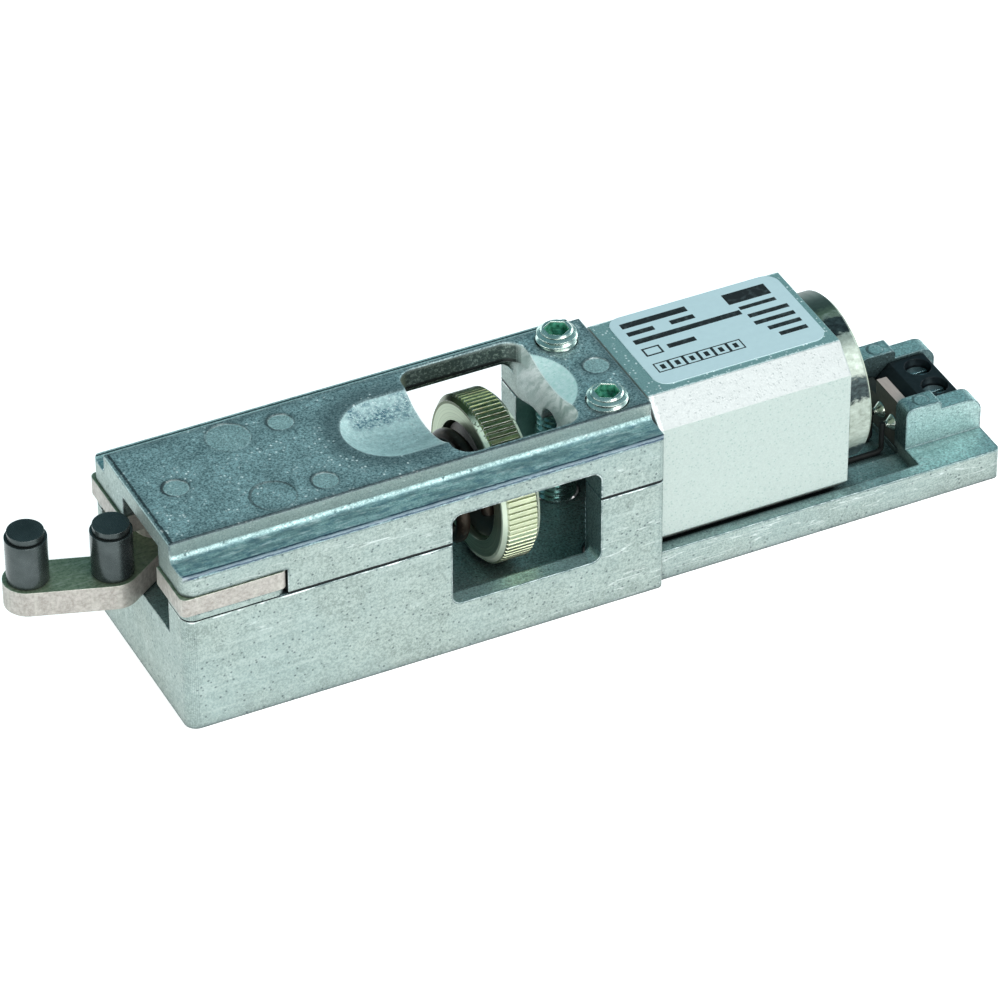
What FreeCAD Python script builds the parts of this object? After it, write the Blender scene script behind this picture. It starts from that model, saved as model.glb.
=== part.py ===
import FreeCAD, Part
import os
from math import cos, hypot, pi, sin, sqrt

V = FreeCAD.Vector

# Electromagnetic door holder for a slide rail, millimetres.
# X runs from the catch to the terminals, Y to the rear side, Z up.
# The origin is on the underside, below the plane where the castings meet the magnet.

# Magnet
magnet_size = 26.0
magnet_length = 30.4
magnet_chamfer = 3.7
magnet_gap = 0.5
magnet_cavity_radius = 10.6
magnet_end_wall = 2.5
floor_thickness = 2.8
core_radius = 4.4
core_nose = 7.0
bobbin_wall = 0.8
bobbin_flange = 1.2
bobbin_end_gap = 0.3
winding_depth = 4.2
label_thickness = 0.12
label_margin_left = 2.5
label_margin_right = 0.9
label_margin_front = 1.3
label_corner = 2.2

# Spindle, armature and adjusting wheel
spindle_radius = 3.0
thread_pitch = 1.0
running_gap = 0.05
armature_gap = 0.05
armature_radius = 12.3
armature_thickness = 4.2
armature_chamfer = 0.5
release_travel = 4.0
nut_across_flats = 8.0
nut_height = 2.6
spindle_tail = 1.2
wheel_radius = 12.4
wheel_width = 5.8
wheel_chamfer = 0.8
wheel_from_wall = 7.4
wheel_recess_radius = 8.8
wheel_recess_depth = 1.7
knurl_count = 84
knurl_depth = 0.3
washer_thickness = 0.8
washer_radius = 8.3

# Spring and thrust piece
spring_outer_radius = 8.1
spring_wire = 2.0
spring_turns = 6.5
spring_start_angle = 95.0
spring_bore_gap = 1.1
thrust_flange_radius = 7.9
thrust_flange_thickness = 2.5
thrust_stem_radius = 4.0
thrust_guide_gap = 0.08
thrust_guide_length = 5.5
stem_groove_gap = 0.3
thrust_travel_room = 2.2
spindle_entry = 7.0

# Castings
body_length = 73.2
wall = 2.7
wheel_side_gap = 0.8
wheel_floor_gap = 0.6
axis_to_parting = 3.0
upper_height = 10.5
plateau_width = 22.5
ledge_drop = 2.9
ledge_edge_radius = 0.5
ledge_root_radius = 0.9
plateau_edge_radius = 0.25
body_corner_radius = 0.9
left_corner_radius = 1.8
plateau_left_radius = 0.45
end_wall = 10.0
window_length = 19.3
window_rim = 0.55
window_corner = 2.8
roof_thickness = 3.4
side_window_length = 23.0
side_window_top = 4.7
side_window_bottom = 7.7
side_window_corner = 1.5
relief_height = 0.2
relief_depth = 0.6
nose_gap = 0.3
nose_notch_half = 5.6
nose_arch_radius = 2.7
nose_arch_rise = 1.9
lower_opening_half = 11.1
finger_scoop_radius = 12.9
finger_scoop_depth = 2.2
finger_scoop_length = 12.9
end_scoop_radius = 18.8
end_scoop_depth = 2.3
end_scoop_setback = 5.4

# Ejector marks on the plateau: distance from the right end, side position, diameter
mark_depth = 0.15
small_mark = 3.75
large_mark = 6.4
mark_side = 7.45
marks = [
    (56.1, 1, large_mark),
    (55.9, -1, large_mark),
    (48.15, 1, small_mark),
    (48.15, -1, small_mark),
    (67.2, 0, small_mark),
    (2.9, 0, small_mark),
]

# Set screws and assembly screws
set_screw_radius = 3.0
set_screw_length = 30.0
set_screw_from_end = 5.2
set_screw_side = 7.9
set_screw_front_rise = 1.5
set_screw_rear_rise = 2.0
set_screw_hex = 3.0
set_screw_socket_depth = 3.0
thread_gap = 0.05
floor_hole_gap = 0.25
screw_radius = 1.25
screw_head_radius = 2.25
screw_head_height = 1.8
screw_head_recess = 0.5
screw_hole_gap = 0.15
screw_engagement = 5.5
screw_socket = 2.0
screw_socket_depth = 1.1
screw_edge_distance = 2.8
front_screw_from_end = 8.0
rear_screw_from_end = 48.0
magnet_screw_inset = 5.5
magnet_screw_engagement = 1.7
magnet_screw_head_height = 1.0

# Guide plate and catch
plate_thickness = 3.0
plate_above_parting = 1.2
plate_length = 15.4
plate_overhang = 0.4
plate_side_overhang = 0.15
plate_gap = 0.1
mouth_depth = 4.4
mouth_rear = 4.7
mouth_front = 7.4
mouth_top = 7.6
catch_thickness = 4.0
catch_gap = 0.2
pivot_from_left = 7.0
pivot_side = 8.0
pivot_radius = 2.0
pivot_depth = 4.5
pivot_gap = 0.05
hub_radius = 4.3
catch_arm_radius = 3.6
tail_offset = 1.5
tail_front = 0.5
catch_pocket_length = 15.7
catch_pocket_rear = 13.0
catch_pocket_front = 10.2
inner_roller_out = 3.6
inner_roller_y = 0.6
outer_roller_out = 14.7
outer_roller_y = 4.3
roller_radius = 3.0
roller_top = 7.2
roller_pin_radius = 1.5
roller_pin_head_radius = 2.6
roller_pin_head = 0.9
roller_gap = 0.05
roller_end_gap = 0.15

# Base and terminals
base_width = 29.0
rail_height = 5.0
rail_width = 2.0
terminal_gap = 3.75
cheek_length = 12.4
cheek_thickness = 3.05
cheek_gap = 0.3
tall_lug_length = 5.8
tall_lug_height = 11.8
low_lug_height = 10.4
lug_end_radius = 2.2
lug_front_radius = 1.2
lead_groove_half = 6.2
lead_groove_depth = 1.0
lead_groove_start = 3.0
lead_radius = 0.4
lead_hole_gap = 0.1
board_thickness = 1.6
board_from_cheek = 0.4
board_floor_gap = 0.3
board_height = 7.9
board_notch_width = 3.9
board_notch_depth = 2.6
block_length = 10.2
block_depth = 7.8
block_height = 6.9
block_gap = 0.7
block_chamfer = 2.0
pole_pitch = 5.0
pole_from_front = 2.5
well_radius = 2.0
well_depth = 1.3
entry_radius = 1.4
entry_depth = 5.0
entry_height = 2.7
terminal_screw_radius = 1.8
terminal_screw_head = 0.9
terminal_shank_radius = 1.25
clamp_width = 2.4
clamp_thickness = 0.4
pin_radius = 0.5
solder_radius = 1.25
solder_height = 1.1
solder_front_near = 0.5
solder_front_far = 4.0
solder_above_floor = 4.0

# Heights and places that follow from the sizes above
axis_z = floor_thickness + magnet_size / 2
parting_z = axis_z + axis_to_parting
plateau_z = parting_z + upper_height
ledge_z = plateau_z - ledge_drop
chamber_half = wheel_radius + wheel_side_gap
body_half = chamber_half + wall
plateau_half = plateau_width / 2
window_half = plateau_half - window_rim
chamber_floor_z = axis_z - wheel_radius - wheel_floor_gap
left_x = -body_length
wall_x = -end_wall
spring_bore = spring_outer_radius + spring_bore_gap
plate_z = parting_z + plate_above_parting
plate_top_z = plate_z + plate_thickness
magnet_x0 = magnet_gap
magnet_x1 = magnet_gap + magnet_length
magnet_z0 = axis_z - magnet_size / 2
magnet_z1 = axis_z + magnet_size / 2
armature_x0 = magnet_x1 + armature_gap
armature_x1 = armature_x0 + armature_thickness
wheel_x1 = wall_x - wheel_from_wall
wheel_x0 = wheel_x1 - wheel_width
washer_x1 = wheel_x0 + wheel_recess_depth - running_gap
washer_x0 = washer_x1 - washer_thickness
catch_pocket_x1 = left_x + catch_pocket_length
guide_x1 = catch_pocket_x1 + thrust_guide_length
thrust_flange_x0 = guide_x1 + 0.6
thrust_flange_x1 = thrust_flange_x0 + thrust_flange_thickness
spring_x0 = thrust_flange_x1 + running_gap
spring_x1 = washer_x0 - running_gap
pivot_x = left_x + pivot_from_left
catch_z0 = axis_z - catch_thickness / 2
catch_z1 = axis_z + catch_thickness / 2
tail_x = pivot_x + tail_offset
inner_roller_x = left_x - inner_roller_out
outer_roller_x = left_x - outer_roller_out
thrust_nose_x = tail_x + catch_arm_radius + running_gap
spindle_x0 = thrust_flange_x1 - spindle_entry
spindle_x1 = armature_x1 + nut_height + spindle_tail
cheek_x0 = armature_x1 + release_travel + terminal_gap
base_end = cheek_x0 + cheek_length
base_half = base_width / 2
cheek_inner = block_length / 2 + cheek_gap
cheek_outer = cheek_inner + cheek_thickness
board_x0 = cheek_x0 + board_from_cheek
board_x1 = board_x0 + board_thickness
board_z0 = floor_thickness + board_floor_gap
block_x0 = board_x1 + block_gap
block_x1 = block_x0 + block_depth
block_z0 = floor_thickness + board_floor_gap
block_z1 = block_z0 + block_height
pole_x = block_x1 - pole_from_front
entry_z = block_z0 + entry_height
solder_z = floor_thickness + solder_above_floor
roller_top_z = parting_z + roller_top
solder_sides = [-solder_front_near, -solder_front_far]
screw_side = body_half - screw_edge_distance
lead_x = magnet_x1 - lead_groove_start + 1


# Shape helpers
def box(x0, x1, y0, y1, z0, z1):
    return Part.makeBox(x1 - x0, y1 - y0, z1 - z0, V(x0, y0, z0))


def x_cylinder(radius, x0, x1, y=0.0, z=None):
    height = axis_z if z is None else z
    return Part.makeCylinder(radius, x1 - x0, V(x0, y, height), V(1, 0, 0))


def z_cylinder(radius, x, y, z0, z1):
    return Part.makeCylinder(radius, z1 - z0, V(x, y, z0))


def rounded_face(corners, place):
    """Face of a closed outline; each corner is (u, v, radius) and place(u, v) gives its point."""
    starts = []
    ends = []
    arcs = []
    count = len(corners)
    for i in range(count):
        u, v, radius = corners[i]
        before = corners[i - 1]
        after = corners[(i + 1) % count]
        back_u = before[0] - u
        back_v = before[1] - v
        ahead_u = after[0] - u
        ahead_v = after[1] - v
        back = hypot(back_u, back_v)
        ahead = hypot(ahead_u, ahead_v)
        cosine = (back_u * ahead_u + back_v * ahead_v) / (back * ahead)
        half_tangent = sqrt((1 + cosine) / (1 - cosine))
        cut = radius * half_tangent
        starts.append((u + back_u / back * cut, v + back_v / back * cut))
        ends.append((u + ahead_u / ahead * cut, v + ahead_v / ahead * cut))
        if radius > 0:
            mid_u = back_u / back + ahead_u / ahead
            mid_v = back_v / back + ahead_v / ahead
            size = hypot(mid_u, mid_v)
            reach = radius * sqrt(1 + half_tangent * half_tangent) - radius
            arcs.append((u + mid_u / size * reach, v + mid_v / size * reach))
        else:
            arcs.append(None)
    edges = []
    for i in range(count):
        if arcs[i] is not None:
            edges.append(Part.Arc(place(*starts[i]), place(*arcs[i]), place(*ends[i])).toShape())
        following = (i + 1) % count
        edges.append(Part.LineSegment(place(*ends[i]), place(*starts[following])).toShape())
    return Part.Face(Part.Wire(edges))


def plan_prism(corners, z0, z1):
    face = rounded_face(corners, lambda x, y: V(x, y, z0))
    return face.extrude(V(0, 0, z1 - z0))


def rounded_plan(x0, x1, y0, y1, radius, z0, z1):
    corners = [(x0, y0, radius), (x1, y0, radius), (x1, y1, radius), (x0, y1, radius)]
    return plan_prism(corners, z0, z1)


def side_prism(corners, y0, y1):
    face = rounded_face(corners, lambda x, z: V(x, y0, z))
    return face.extrude(V(0, y1 - y0, 0))


def section_prism(corners, x0, x1):
    face = rounded_face(corners, lambda y, z: V(x0, y, z))
    return face.extrude(V(x1 - x0, 0, 0))


def link(ax, ay, bx, by, radius, z0, z1):
    """Bar with round ends between two points in plan."""
    run = hypot(bx - ax, by - ay)
    side_x = -(by - ay) / run * radius
    side_y = (bx - ax) / run * radius
    corners = [
        (ax + side_x, ay + side_y, 0),
        (ax - side_x, ay - side_y, 0),
        (bx - side_x, by - side_y, 0),
        (bx + side_x, by + side_y, 0),
    ]
    bar = plan_prism(corners, z0, z1)
    return bar.fuse([z_cylinder(radius, ax, ay, z0, z1), z_cylinder(radius, bx, by, z0, z1)])


def revolve_x(points):
    """Solid of revolution about the spindle axis; points are (x, radius)."""
    wire = Part.makePolygon([V(x, 0, axis_z + r) for x, r in points + points[:1]])
    return Part.Face(wire).revolve(V(0, 0, axis_z), V(1, 0, 0), 360)


def hexagon(across_flats, x, y, z0, z1):
    """Hexagonal prism along Z."""
    radius = across_flats / sqrt(3)
    corners = [(x + radius * cos(i * pi / 3), y + radius * sin(i * pi / 3), 0) for i in range(6)]
    return plan_prism(corners, z0, z1)


def clean(shape):
    return shape.removeSplitter()


# Spaces that both castings share
def wheel_chamber(z0, z1):
    x0 = wall_x - side_window_length
    return rounded_plan(x0, wall_x, -chamber_half, chamber_half, side_window_corner, z0, z1)


def side_windows():
    """Both side openings, where the wheel can be reached."""
    z0 = axis_z - side_window_bottom
    z1 = parting_z + side_window_top
    corners = [
        (wall_x - side_window_length, z0, side_window_corner),
        (wall_x, z0, side_window_corner),
        (wall_x, z1, side_window_corner),
        (wall_x - side_window_length, z1, side_window_corner),
    ]
    return side_prism(corners, -body_half - 1, body_half + 1)


def spring_tunnel():
    tunnel = x_cylinder(spring_bore, guide_x1, wall_x - side_window_length / 2)
    guide = x_cylinder(thrust_stem_radius + thrust_guide_gap, catch_pocket_x1 - 1, guide_x1 + 1)
    return tunnel.fuse(guide)


def mouth(z0, z1):
    """Notch in the left end that the inner roller swings in."""
    x0 = left_x - 1
    x1 = left_x + mouth_depth
    corners = [(x0, -mouth_front, 0), (x1, -mouth_front, 1.5), (x1, mouth_rear, 1.5), (x0, mouth_rear, 0)]
    return plan_prism(corners, z0, z1)


def assembly_screw_places():
    rear = -rear_screw_from_end
    front = -front_screw_from_end
    return [(rear, screw_side), (rear, -screw_side), (front, screw_side), (front, -screw_side)]


def set_screw_places():
    return [(-set_screw_from_end, -set_screw_side), (-set_screw_from_end, set_screw_side)]


def parting_relief():
    """Narrow slit that the two castings leave along their outer edges and at the end wall."""
    z0 = parting_z - relief_height
    sides = [
        box(left_x + plate_length, 1, body_half - relief_depth, body_half + 1, z0, parting_z + 1),
        box(left_x + plate_length, 1, -body_half - 1, relief_depth - body_half, z0, parting_z + 1),
        box(wall_x - 1, wall_x + relief_depth, -chamber_half, chamber_half, z0, parting_z + 1),
    ]
    return sides[0].fuse(sides[1:])


def body_plan(z0, z1):
    corners = [
        (left_x, -body_half, left_corner_radius),
        (0, -body_half, body_corner_radius),
        (0, body_half, body_corner_radius),
        (left_x, body_half, left_corner_radius),
    ]
    return plan_prism(corners, z0, z1)


# Castings
def upper_casting():
    edge = ledge_edge_radius
    root = ledge_root_radius
    corners = [
        (-body_half, parting_z, 0),
        (body_half, parting_z, 0),
        (body_half, ledge_z, edge),
        (plateau_half, ledge_z, root),
        (plateau_half, plateau_z, plateau_edge_radius),
        (-plateau_half, plateau_z, plateau_edge_radius),
        (-plateau_half, ledge_z, root),
        (-body_half, ledge_z, edge),
    ]
    body = section_prism(corners, left_x, 0)
    body = body.common(body_plan(parting_z - 1, plateau_z + 1))
    profile = [
        (left_x, parting_z - 1, 0),
        (0, parting_z - 1, 0),
        (0, plateau_z, plateau_edge_radius),
        (left_x, plateau_z, plateau_left_radius),
    ]
    body = body.common(side_prism(profile, -body_half - 1, body_half + 1))
    roof_z = plateau_z - roof_thickness
    window = rounded_plan(
        wall_x - window_length, wall_x, -window_half, window_half, window_corner, roof_z - 1, plateau_z + 1
    )
    slot_half = body_half + 1
    plate_slot = box(left_x - 1, left_x + plate_length, -slot_half, slot_half, parting_z - 1, plate_top_z)
    cuts = [
        wheel_chamber(parting_z - 1, roof_z),
        window,
        side_windows(),
        spring_tunnel(),
        nose_notch(),
        plate_slot,
        mouth(parting_z - 1, parting_z + mouth_top),
        finger_scoop(),
        end_scoop(),
    ]
    for x, y in set_screw_places():
        cuts.append(z_cylinder(set_screw_radius + thread_gap, x, y, 0, plateau_z + 1))
    tapped_z1 = parting_z + screw_engagement + 0.5
    for x, y in assembly_screw_places():
        cuts.append(z_cylinder(screw_radius + thread_gap, x, y, parting_z - 1, tapped_z1))
    for from_end, side, diameter in marks:
        x = -from_end
        cuts.append(z_cylinder(diameter / 2, x, side * mark_side, plateau_z - mark_depth, plateau_z + 1))
    return clean(body.cut(cuts))


def nose_notch():
    """Opening under the end wall for the core, with a small arch in its middle."""
    z1 = axis_z + core_radius + nose_gap
    corners = [
        (-lower_opening_half, parting_z - 1, 0),
        (lower_opening_half, parting_z - 1, 0),
        (lower_opening_half, parting_z, 0),
        (nose_notch_half, z1, 0),
        (-nose_notch_half, z1, 0),
        (-lower_opening_half, parting_z, 0),
    ]
    notch = section_prism(corners, wall_x - 1, 1)
    return notch.fuse(x_cylinder(nose_arch_radius, wall_x - 1, 1, 0, parting_z + nose_arch_rise))


def finger_scoop():
    """Shallow trough with a round end, left of the wheel."""
    centre_z = plateau_z - finger_scoop_depth + finger_scoop_radius
    chord = sqrt(finger_scoop_radius**2 - (centre_z - plateau_z) ** 2)
    x1 = wall_x - window_length / 2
    x0 = wall_x - window_length - finger_scoop_length + chord
    trough = x_cylinder(finger_scoop_radius, x0, x1, 0, centre_z)
    return trough.fuse(Part.makeSphere(finger_scoop_radius, V(x0, 0, centre_z)))


def end_scoop():
    """Shallow dish in the plateau right of the wheel."""
    centre = V(wall_x - end_scoop_setback, 0, plateau_z - end_scoop_depth + end_scoop_radius)
    return Part.makeSphere(end_scoop_radius, centre)


def lower_casting():
    body = body_plan(0, parting_z)
    pad_x1 = left_x + plate_length - plate_gap
    pad = rounded_plan(left_x, pad_x1, -body_half, body_half, left_corner_radius, parting_z - 1, plate_z)
    base = plan_prism(
        [
            (-1, -base_half, 0),
            (base_end, -base_half, body_corner_radius),
            (base_end, base_half, body_corner_radius),
            (-1, base_half, 0),
        ],
        0,
        rail_height,
    )
    body = body.fuse([pad, base, cheek(1), cheek(-1)])

    trough = box(0, cheek_x0, rail_width - base_half, base_half - rail_width, floor_thickness, parting_z)
    terminal_bay = box(cheek_x0 - 1, base_end + 1, -cheek_inner, cheek_inner, floor_thickness, parting_z)
    groove = box(
        magnet_x1 - lead_groove_start,
        cheek_x0 + board_from_cheek,
        -lead_groove_half,
        lead_groove_half,
        floor_thickness - lead_groove_depth,
        floor_thickness + 1,
    )
    pivot_hole_z = catch_z0 - catch_gap - pivot_depth
    catch_pocket = plan_prism(
        [
            (left_x - 1, -catch_pocket_front, 0),
            (catch_pocket_x1, -catch_pocket_front, 2),
            (catch_pocket_x1, catch_pocket_rear, 2),
            (left_x - 1, catch_pocket_rear, 0),
        ],
        catch_z0 - catch_gap,
        plate_z + 1,
    )
    opening = box(wall_x - 1, 1, -lower_opening_half, lower_opening_half, floor_thickness, parting_z + 1)
    stem_groove = x_cylinder(thrust_stem_radius + stem_groove_gap, thrust_nose_x - 0.5, catch_pocket_x1)
    cuts = [
        wheel_chamber(chamber_floor_z, parting_z + 1),
        side_windows(),
        spring_tunnel(),
        catch_pocket,
        opening,
        stem_groove,
        parting_relief(),
        trough,
        terminal_bay,
        groove,
        z_cylinder(pivot_radius + thread_gap, pivot_x, pivot_side, pivot_hole_z, parting_z),
    ]
    for x, y in set_screw_places():
        cuts.append(z_cylinder(set_screw_radius + floor_hole_gap, x, y, -1, floor_thickness + 1))
    hole = screw_radius + screw_hole_gap
    head_hole = screw_head_radius + screw_hole_gap
    for x, y in assembly_screw_places():
        cuts.append(z_cylinder(hole, x, y, -1, plate_z + 1))
        cuts.append(z_cylinder(head_hole, x, y, -1, screw_head_recess + screw_head_height))
    for x in magnet_screw_places():
        cuts.append(z_cylinder(hole, x, 0, -1, floor_thickness + 1))
        cuts.append(z_cylinder(head_hole, x, 0, -1, screw_head_recess + magnet_screw_head_height))
    return clean(body.cut(cuts))


def cheek(side):
    """One wall beside the terminals, with a tall and a low lug."""
    y0 = cheek_inner if side > 0 else -cheek_outer
    step_x = cheek_x0 + tall_lug_length
    corners = [
        (cheek_x0, rail_height - 1, 0),
        (base_end, rail_height - 1, 0),
        (base_end, low_lug_height, lug_end_radius),
        (step_x, low_lug_height, 0),
        (step_x, tall_lug_height, 0.6),
        (cheek_x0, tall_lug_height, lug_front_radius),
    ]
    return side_prism(corners, y0, y0 + cheek_thickness)


# Guide plate and catch
def guide_plate():
    x0 = left_x - plate_overhang
    x1 = left_x + plate_length - plate_gap
    half = body_half + plate_side_overhang
    corners = [
        (x0, -half, 1.0),
        (x1, -half, 1.0),
        (x1, half, 1.0),
        (x0, half, 1.0),
    ]
    plate = plan_prism(corners, plate_z, plate_top_z - plate_gap)
    hole = z_cylinder(pivot_radius + thread_gap, pivot_x, pivot_side, plate_z - 1, plate_top_z + 1)
    return clean(plate.cut([mouth(plate_z - 1, plate_top_z + 1), hole]))


def pivot_pin():
    z0 = catch_z0 - catch_gap - pivot_depth + 0.1
    return z_cylinder(pivot_radius, pivot_x, pivot_side, z0, plate_top_z - plate_gap)


def catch_lever():
    z0 = catch_z0
    z1 = catch_z1
    arm = link(pivot_x, pivot_side, inner_roller_x, inner_roller_y, catch_arm_radius, z0, z1)
    tip = link(inner_roller_x, inner_roller_y, outer_roller_x, outer_roller_y, catch_arm_radius, z0, z1)
    tail = link(pivot_x, pivot_side, tail_x, -tail_front, catch_arm_radius, z0, z1)
    hub = z_cylinder(hub_radius, pivot_x, pivot_side, z0, plate_z - catch_gap)
    lever = arm.fuse([tip, tail, hub])
    holes = [z_cylinder(pivot_radius + pivot_gap, pivot_x, pivot_side, z0 - 1, plate_z + 1)]
    for x, y in roller_places():
        holes.append(z_cylinder(roller_pin_radius + thread_gap / 2, x, y, z0 - 1, z1 + 1))
    return clean(lever.cut(holes))


def roller_places():
    return [(inner_roller_x, inner_roller_y), (outer_roller_x, outer_roller_y)]


def catch_roller(x, y):
    z0 = catch_z1 + roller_end_gap
    z1 = roller_top_z - roller_pin_head - roller_end_gap
    sleeve = z_cylinder(roller_radius, x, y, z0, z1)
    return sleeve.cut(z_cylinder(roller_pin_radius + roller_gap, x, y, z0 - 1, z1 + 1))


def roller_pins():
    pins = []
    for x, y in roller_places():
        shank = z_cylinder(roller_pin_radius, x, y, catch_z0, roller_top_z)
        head = z_cylinder(roller_pin_head_radius, x, y, roller_top_z - roller_pin_head, roller_top_z)
        pins.append(clean(shank.fuse(head)))
    return Part.makeCompound(pins)


# Spring train
def thrust_piece():
    flange = x_cylinder(thrust_flange_radius, thrust_flange_x0, thrust_flange_x1)
    stem = x_cylinder(thrust_stem_radius, thrust_nose_x, thrust_flange_x0 + 1)
    bore = x_cylinder(spindle_radius + running_gap, spindle_x0 - thrust_travel_room, thrust_flange_x1 + 1)
    return clean(flange.fuse(stem).cut(bore))


def compression_spring():
    length = spring_x1 - spring_x0
    pitch = (length - spring_wire) / spring_turns
    radius = spring_outer_radius - spring_wire / 2
    helix = Part.makeHelix(pitch, length - spring_wire, radius)
    section = Part.Wire(Part.makeCircle(spring_wire / 2, V(radius, 0, 0), V(0, 1, 0)))
    coil = Part.Wire(helix).makePipeShell([section], True, True)
    coil.rotate(V(0, 0, 0), V(0, 0, 1), spring_start_angle)
    coil.rotate(V(0, 0, 0), V(0, 1, 0), 90)
    coil.translate(V(spring_x0 + spring_wire / 2, 0, axis_z))
    return coil


def spring_washer():
    ring = x_cylinder(washer_radius, washer_x0, washer_x1)
    return ring.cut(x_cylinder(spindle_radius + running_gap, washer_x0 - 1, washer_x1 + 1))


def adjusting_wheel():
    points = []
    for i in range(knurl_count):
        start = 2 * pi * i / knurl_count
        step = 2 * pi / knurl_count
        root = wheel_radius - knurl_depth
        for share, radius in ((0.0, wheel_radius), (0.62, wheel_radius), (0.81, root)):
            angle = start + share * step
            points.append(V(wheel_x0, radius * cos(angle), axis_z + radius * sin(angle)))
    rim = Part.Face(Part.makePolygon(points + points[:1])).extrude(V(wheel_width, 0, 0))
    inner = wheel_radius - wheel_chamfer
    blank = revolve_x([
        (wheel_x0, 0),
        (wheel_x0, inner),
        (wheel_x0 + wheel_chamfer, wheel_radius + 0.01),
        (wheel_x1 - wheel_chamfer, wheel_radius + 0.01),
        (wheel_x1, inner),
        (wheel_x1, 0),
    ])
    wheel = rim.common(blank)
    recess = x_cylinder(wheel_recess_radius, wheel_x0 - 1, wheel_x0 + wheel_recess_depth)
    bore = x_cylinder(spindle_radius + running_gap, wheel_x0 - 1, wheel_x1 + 1)
    return wheel.cut([recess, bore])


def spindle():
    return x_cylinder(spindle_radius, spindle_x0, spindle_x1)


def armature_disc():
    c = armature_chamfer
    r = armature_radius
    disc = revolve_x([
        (armature_x0, 0),
        (armature_x0, r - c),
        (armature_x0 + c, r),
        (armature_x1 - c, r),
        (armature_x1, r - c),
        (armature_x1, 0),
    ])
    return disc.cut(x_cylinder(spindle_radius + thread_gap, armature_x0 - 1, armature_x1 + 1))


def spindle_nut():
    radius = nut_across_flats / sqrt(3)
    corners = [(radius * cos(i * pi / 3), axis_z + radius * sin(i * pi / 3), 0) for i in range(6)]
    nut = section_prism(corners, armature_x1, armature_x1 + nut_height)
    return nut.cut(x_cylinder(spindle_radius + thread_gap, armature_x1 - 1, armature_x1 + nut_height + 1))


# Magnet
def coil_housing():
    half = magnet_size / 2
    c = magnet_chamfer
    corners = [
        (-half + c, magnet_z0, 0),
        (half - c, magnet_z0, 0),
        (half, magnet_z0 + c, 0),
        (half, magnet_z1 - c, 0),
        (half - c, magnet_z1, 0),
        (-half + c, magnet_z1, 0),
        (-half, magnet_z1 - c, 0),
        (-half, magnet_z0 + c, 0),
    ]
    can = section_prism(corners, magnet_x0, magnet_x1)
    cuts = [
        x_cylinder(magnet_cavity_radius, magnet_x0 + magnet_end_wall, magnet_x1 + 1),
        x_cylinder(core_radius + thread_gap, magnet_x0 - 1, magnet_x1),
    ]
    for x in magnet_screw_places():
        top = magnet_z0 + magnet_screw_engagement + 0.2
        cuts.append(z_cylinder(screw_radius + thread_gap, x, 0, magnet_z0 - 1, top))
    for y in solder_sides:
        cuts.append(z_cylinder(lead_radius + lead_hole_gap, lead_x, y, magnet_z0 - 1, lead_top_z(y)))
    return clean(can.cut(cuts))


def lead_top_z(y):
    """Height just under the winding at this side position."""
    nearest = max(0, abs(y) - lead_radius)
    return axis_z - sqrt(winding_radius() ** 2 - nearest * nearest) - running_gap


def magnet_screw_places():
    return [magnet_x0 + magnet_screw_inset, magnet_x1 - magnet_screw_inset]


def pole_core():
    core = x_cylinder(core_radius, -core_nose, magnet_x1)
    return core.cut(x_cylinder(spindle_radius + running_gap, -core_nose - 1, magnet_x1 + 1))


def bobbin_ends():
    x0 = magnet_x0 + magnet_end_wall + bobbin_end_gap
    x1 = magnet_x1 - bobbin_end_gap
    return x0, x1


def barrel_radius():
    return core_radius + thread_gap + bobbin_wall


def winding_radius():
    return barrel_radius() + winding_depth


def coil_bobbin():
    x0, x1 = bobbin_ends()
    barrel = barrel_radius()
    rim = magnet_cavity_radius - 0.2
    tube = x_cylinder(barrel, x0, x1)
    flanges = [x_cylinder(rim, x0, x0 + bobbin_flange), x_cylinder(rim, x1 - bobbin_flange, x1)]
    bobbin = tube.fuse(flanges)
    return clean(bobbin.cut(x_cylinder(core_radius + thread_gap, x0 - 1, x1 + 1)))


def coil_winding():
    x0, x1 = bobbin_ends()
    ring = x_cylinder(winding_radius(), x0 + bobbin_flange, x1 - bobbin_flange)
    return ring.cut(x_cylinder(barrel_radius(), x0, x1))


def rating_label():
    half = magnet_size / 2 - magnet_chamfer
    x0 = magnet_x0 + label_margin_left
    x1 = magnet_x1 - label_margin_right
    y0 = label_margin_front - half
    return rounded_plan(x0, x1, y0, half, label_corner, magnet_z1, magnet_z1 + label_thickness)


# Fasteners
def set_screw(y, rise):
    x = -set_screw_from_end
    z1 = plateau_z + rise
    z0 = z1 - set_screw_length
    chamfer = 0.5
    body = z_cylinder(set_screw_radius, x, y, z0 + chamfer, z1 - chamfer)
    inner = set_screw_radius - chamfer
    top = Part.makeCone(set_screw_radius, inner, chamfer, V(x, y, z1 - chamfer))
    tip = Part.makeCone(inner, set_screw_radius, chamfer, V(x, y, z0))
    socket = hexagon(set_screw_hex, x, y, z1 - set_screw_socket_depth, z1 + 1)
    return clean(body.fuse([top, tip]).cut(socket))


def cap_screw(x, y, head_height, z_end):
    z0 = screw_head_recess
    head = z_cylinder(screw_head_radius, x, y, z0, z0 + head_height)
    shank = z_cylinder(screw_radius, x, y, z0, z_end)
    socket = hexagon(screw_socket, x, y, z0 - 1, z0 + min(screw_socket_depth, head_height * 0.7))
    return clean(head.fuse(shank).cut(socket))


def assembly_screws():
    end = parting_z + screw_engagement
    return Part.makeCompound([cap_screw(x, y, screw_head_height, end) for x, y in assembly_screw_places()])


def magnet_screws():
    end = magnet_z0 + magnet_screw_engagement
    return Part.makeCompound([cap_screw(x, 0, magnet_screw_head_height, end) for x in magnet_screw_places()])


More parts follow.
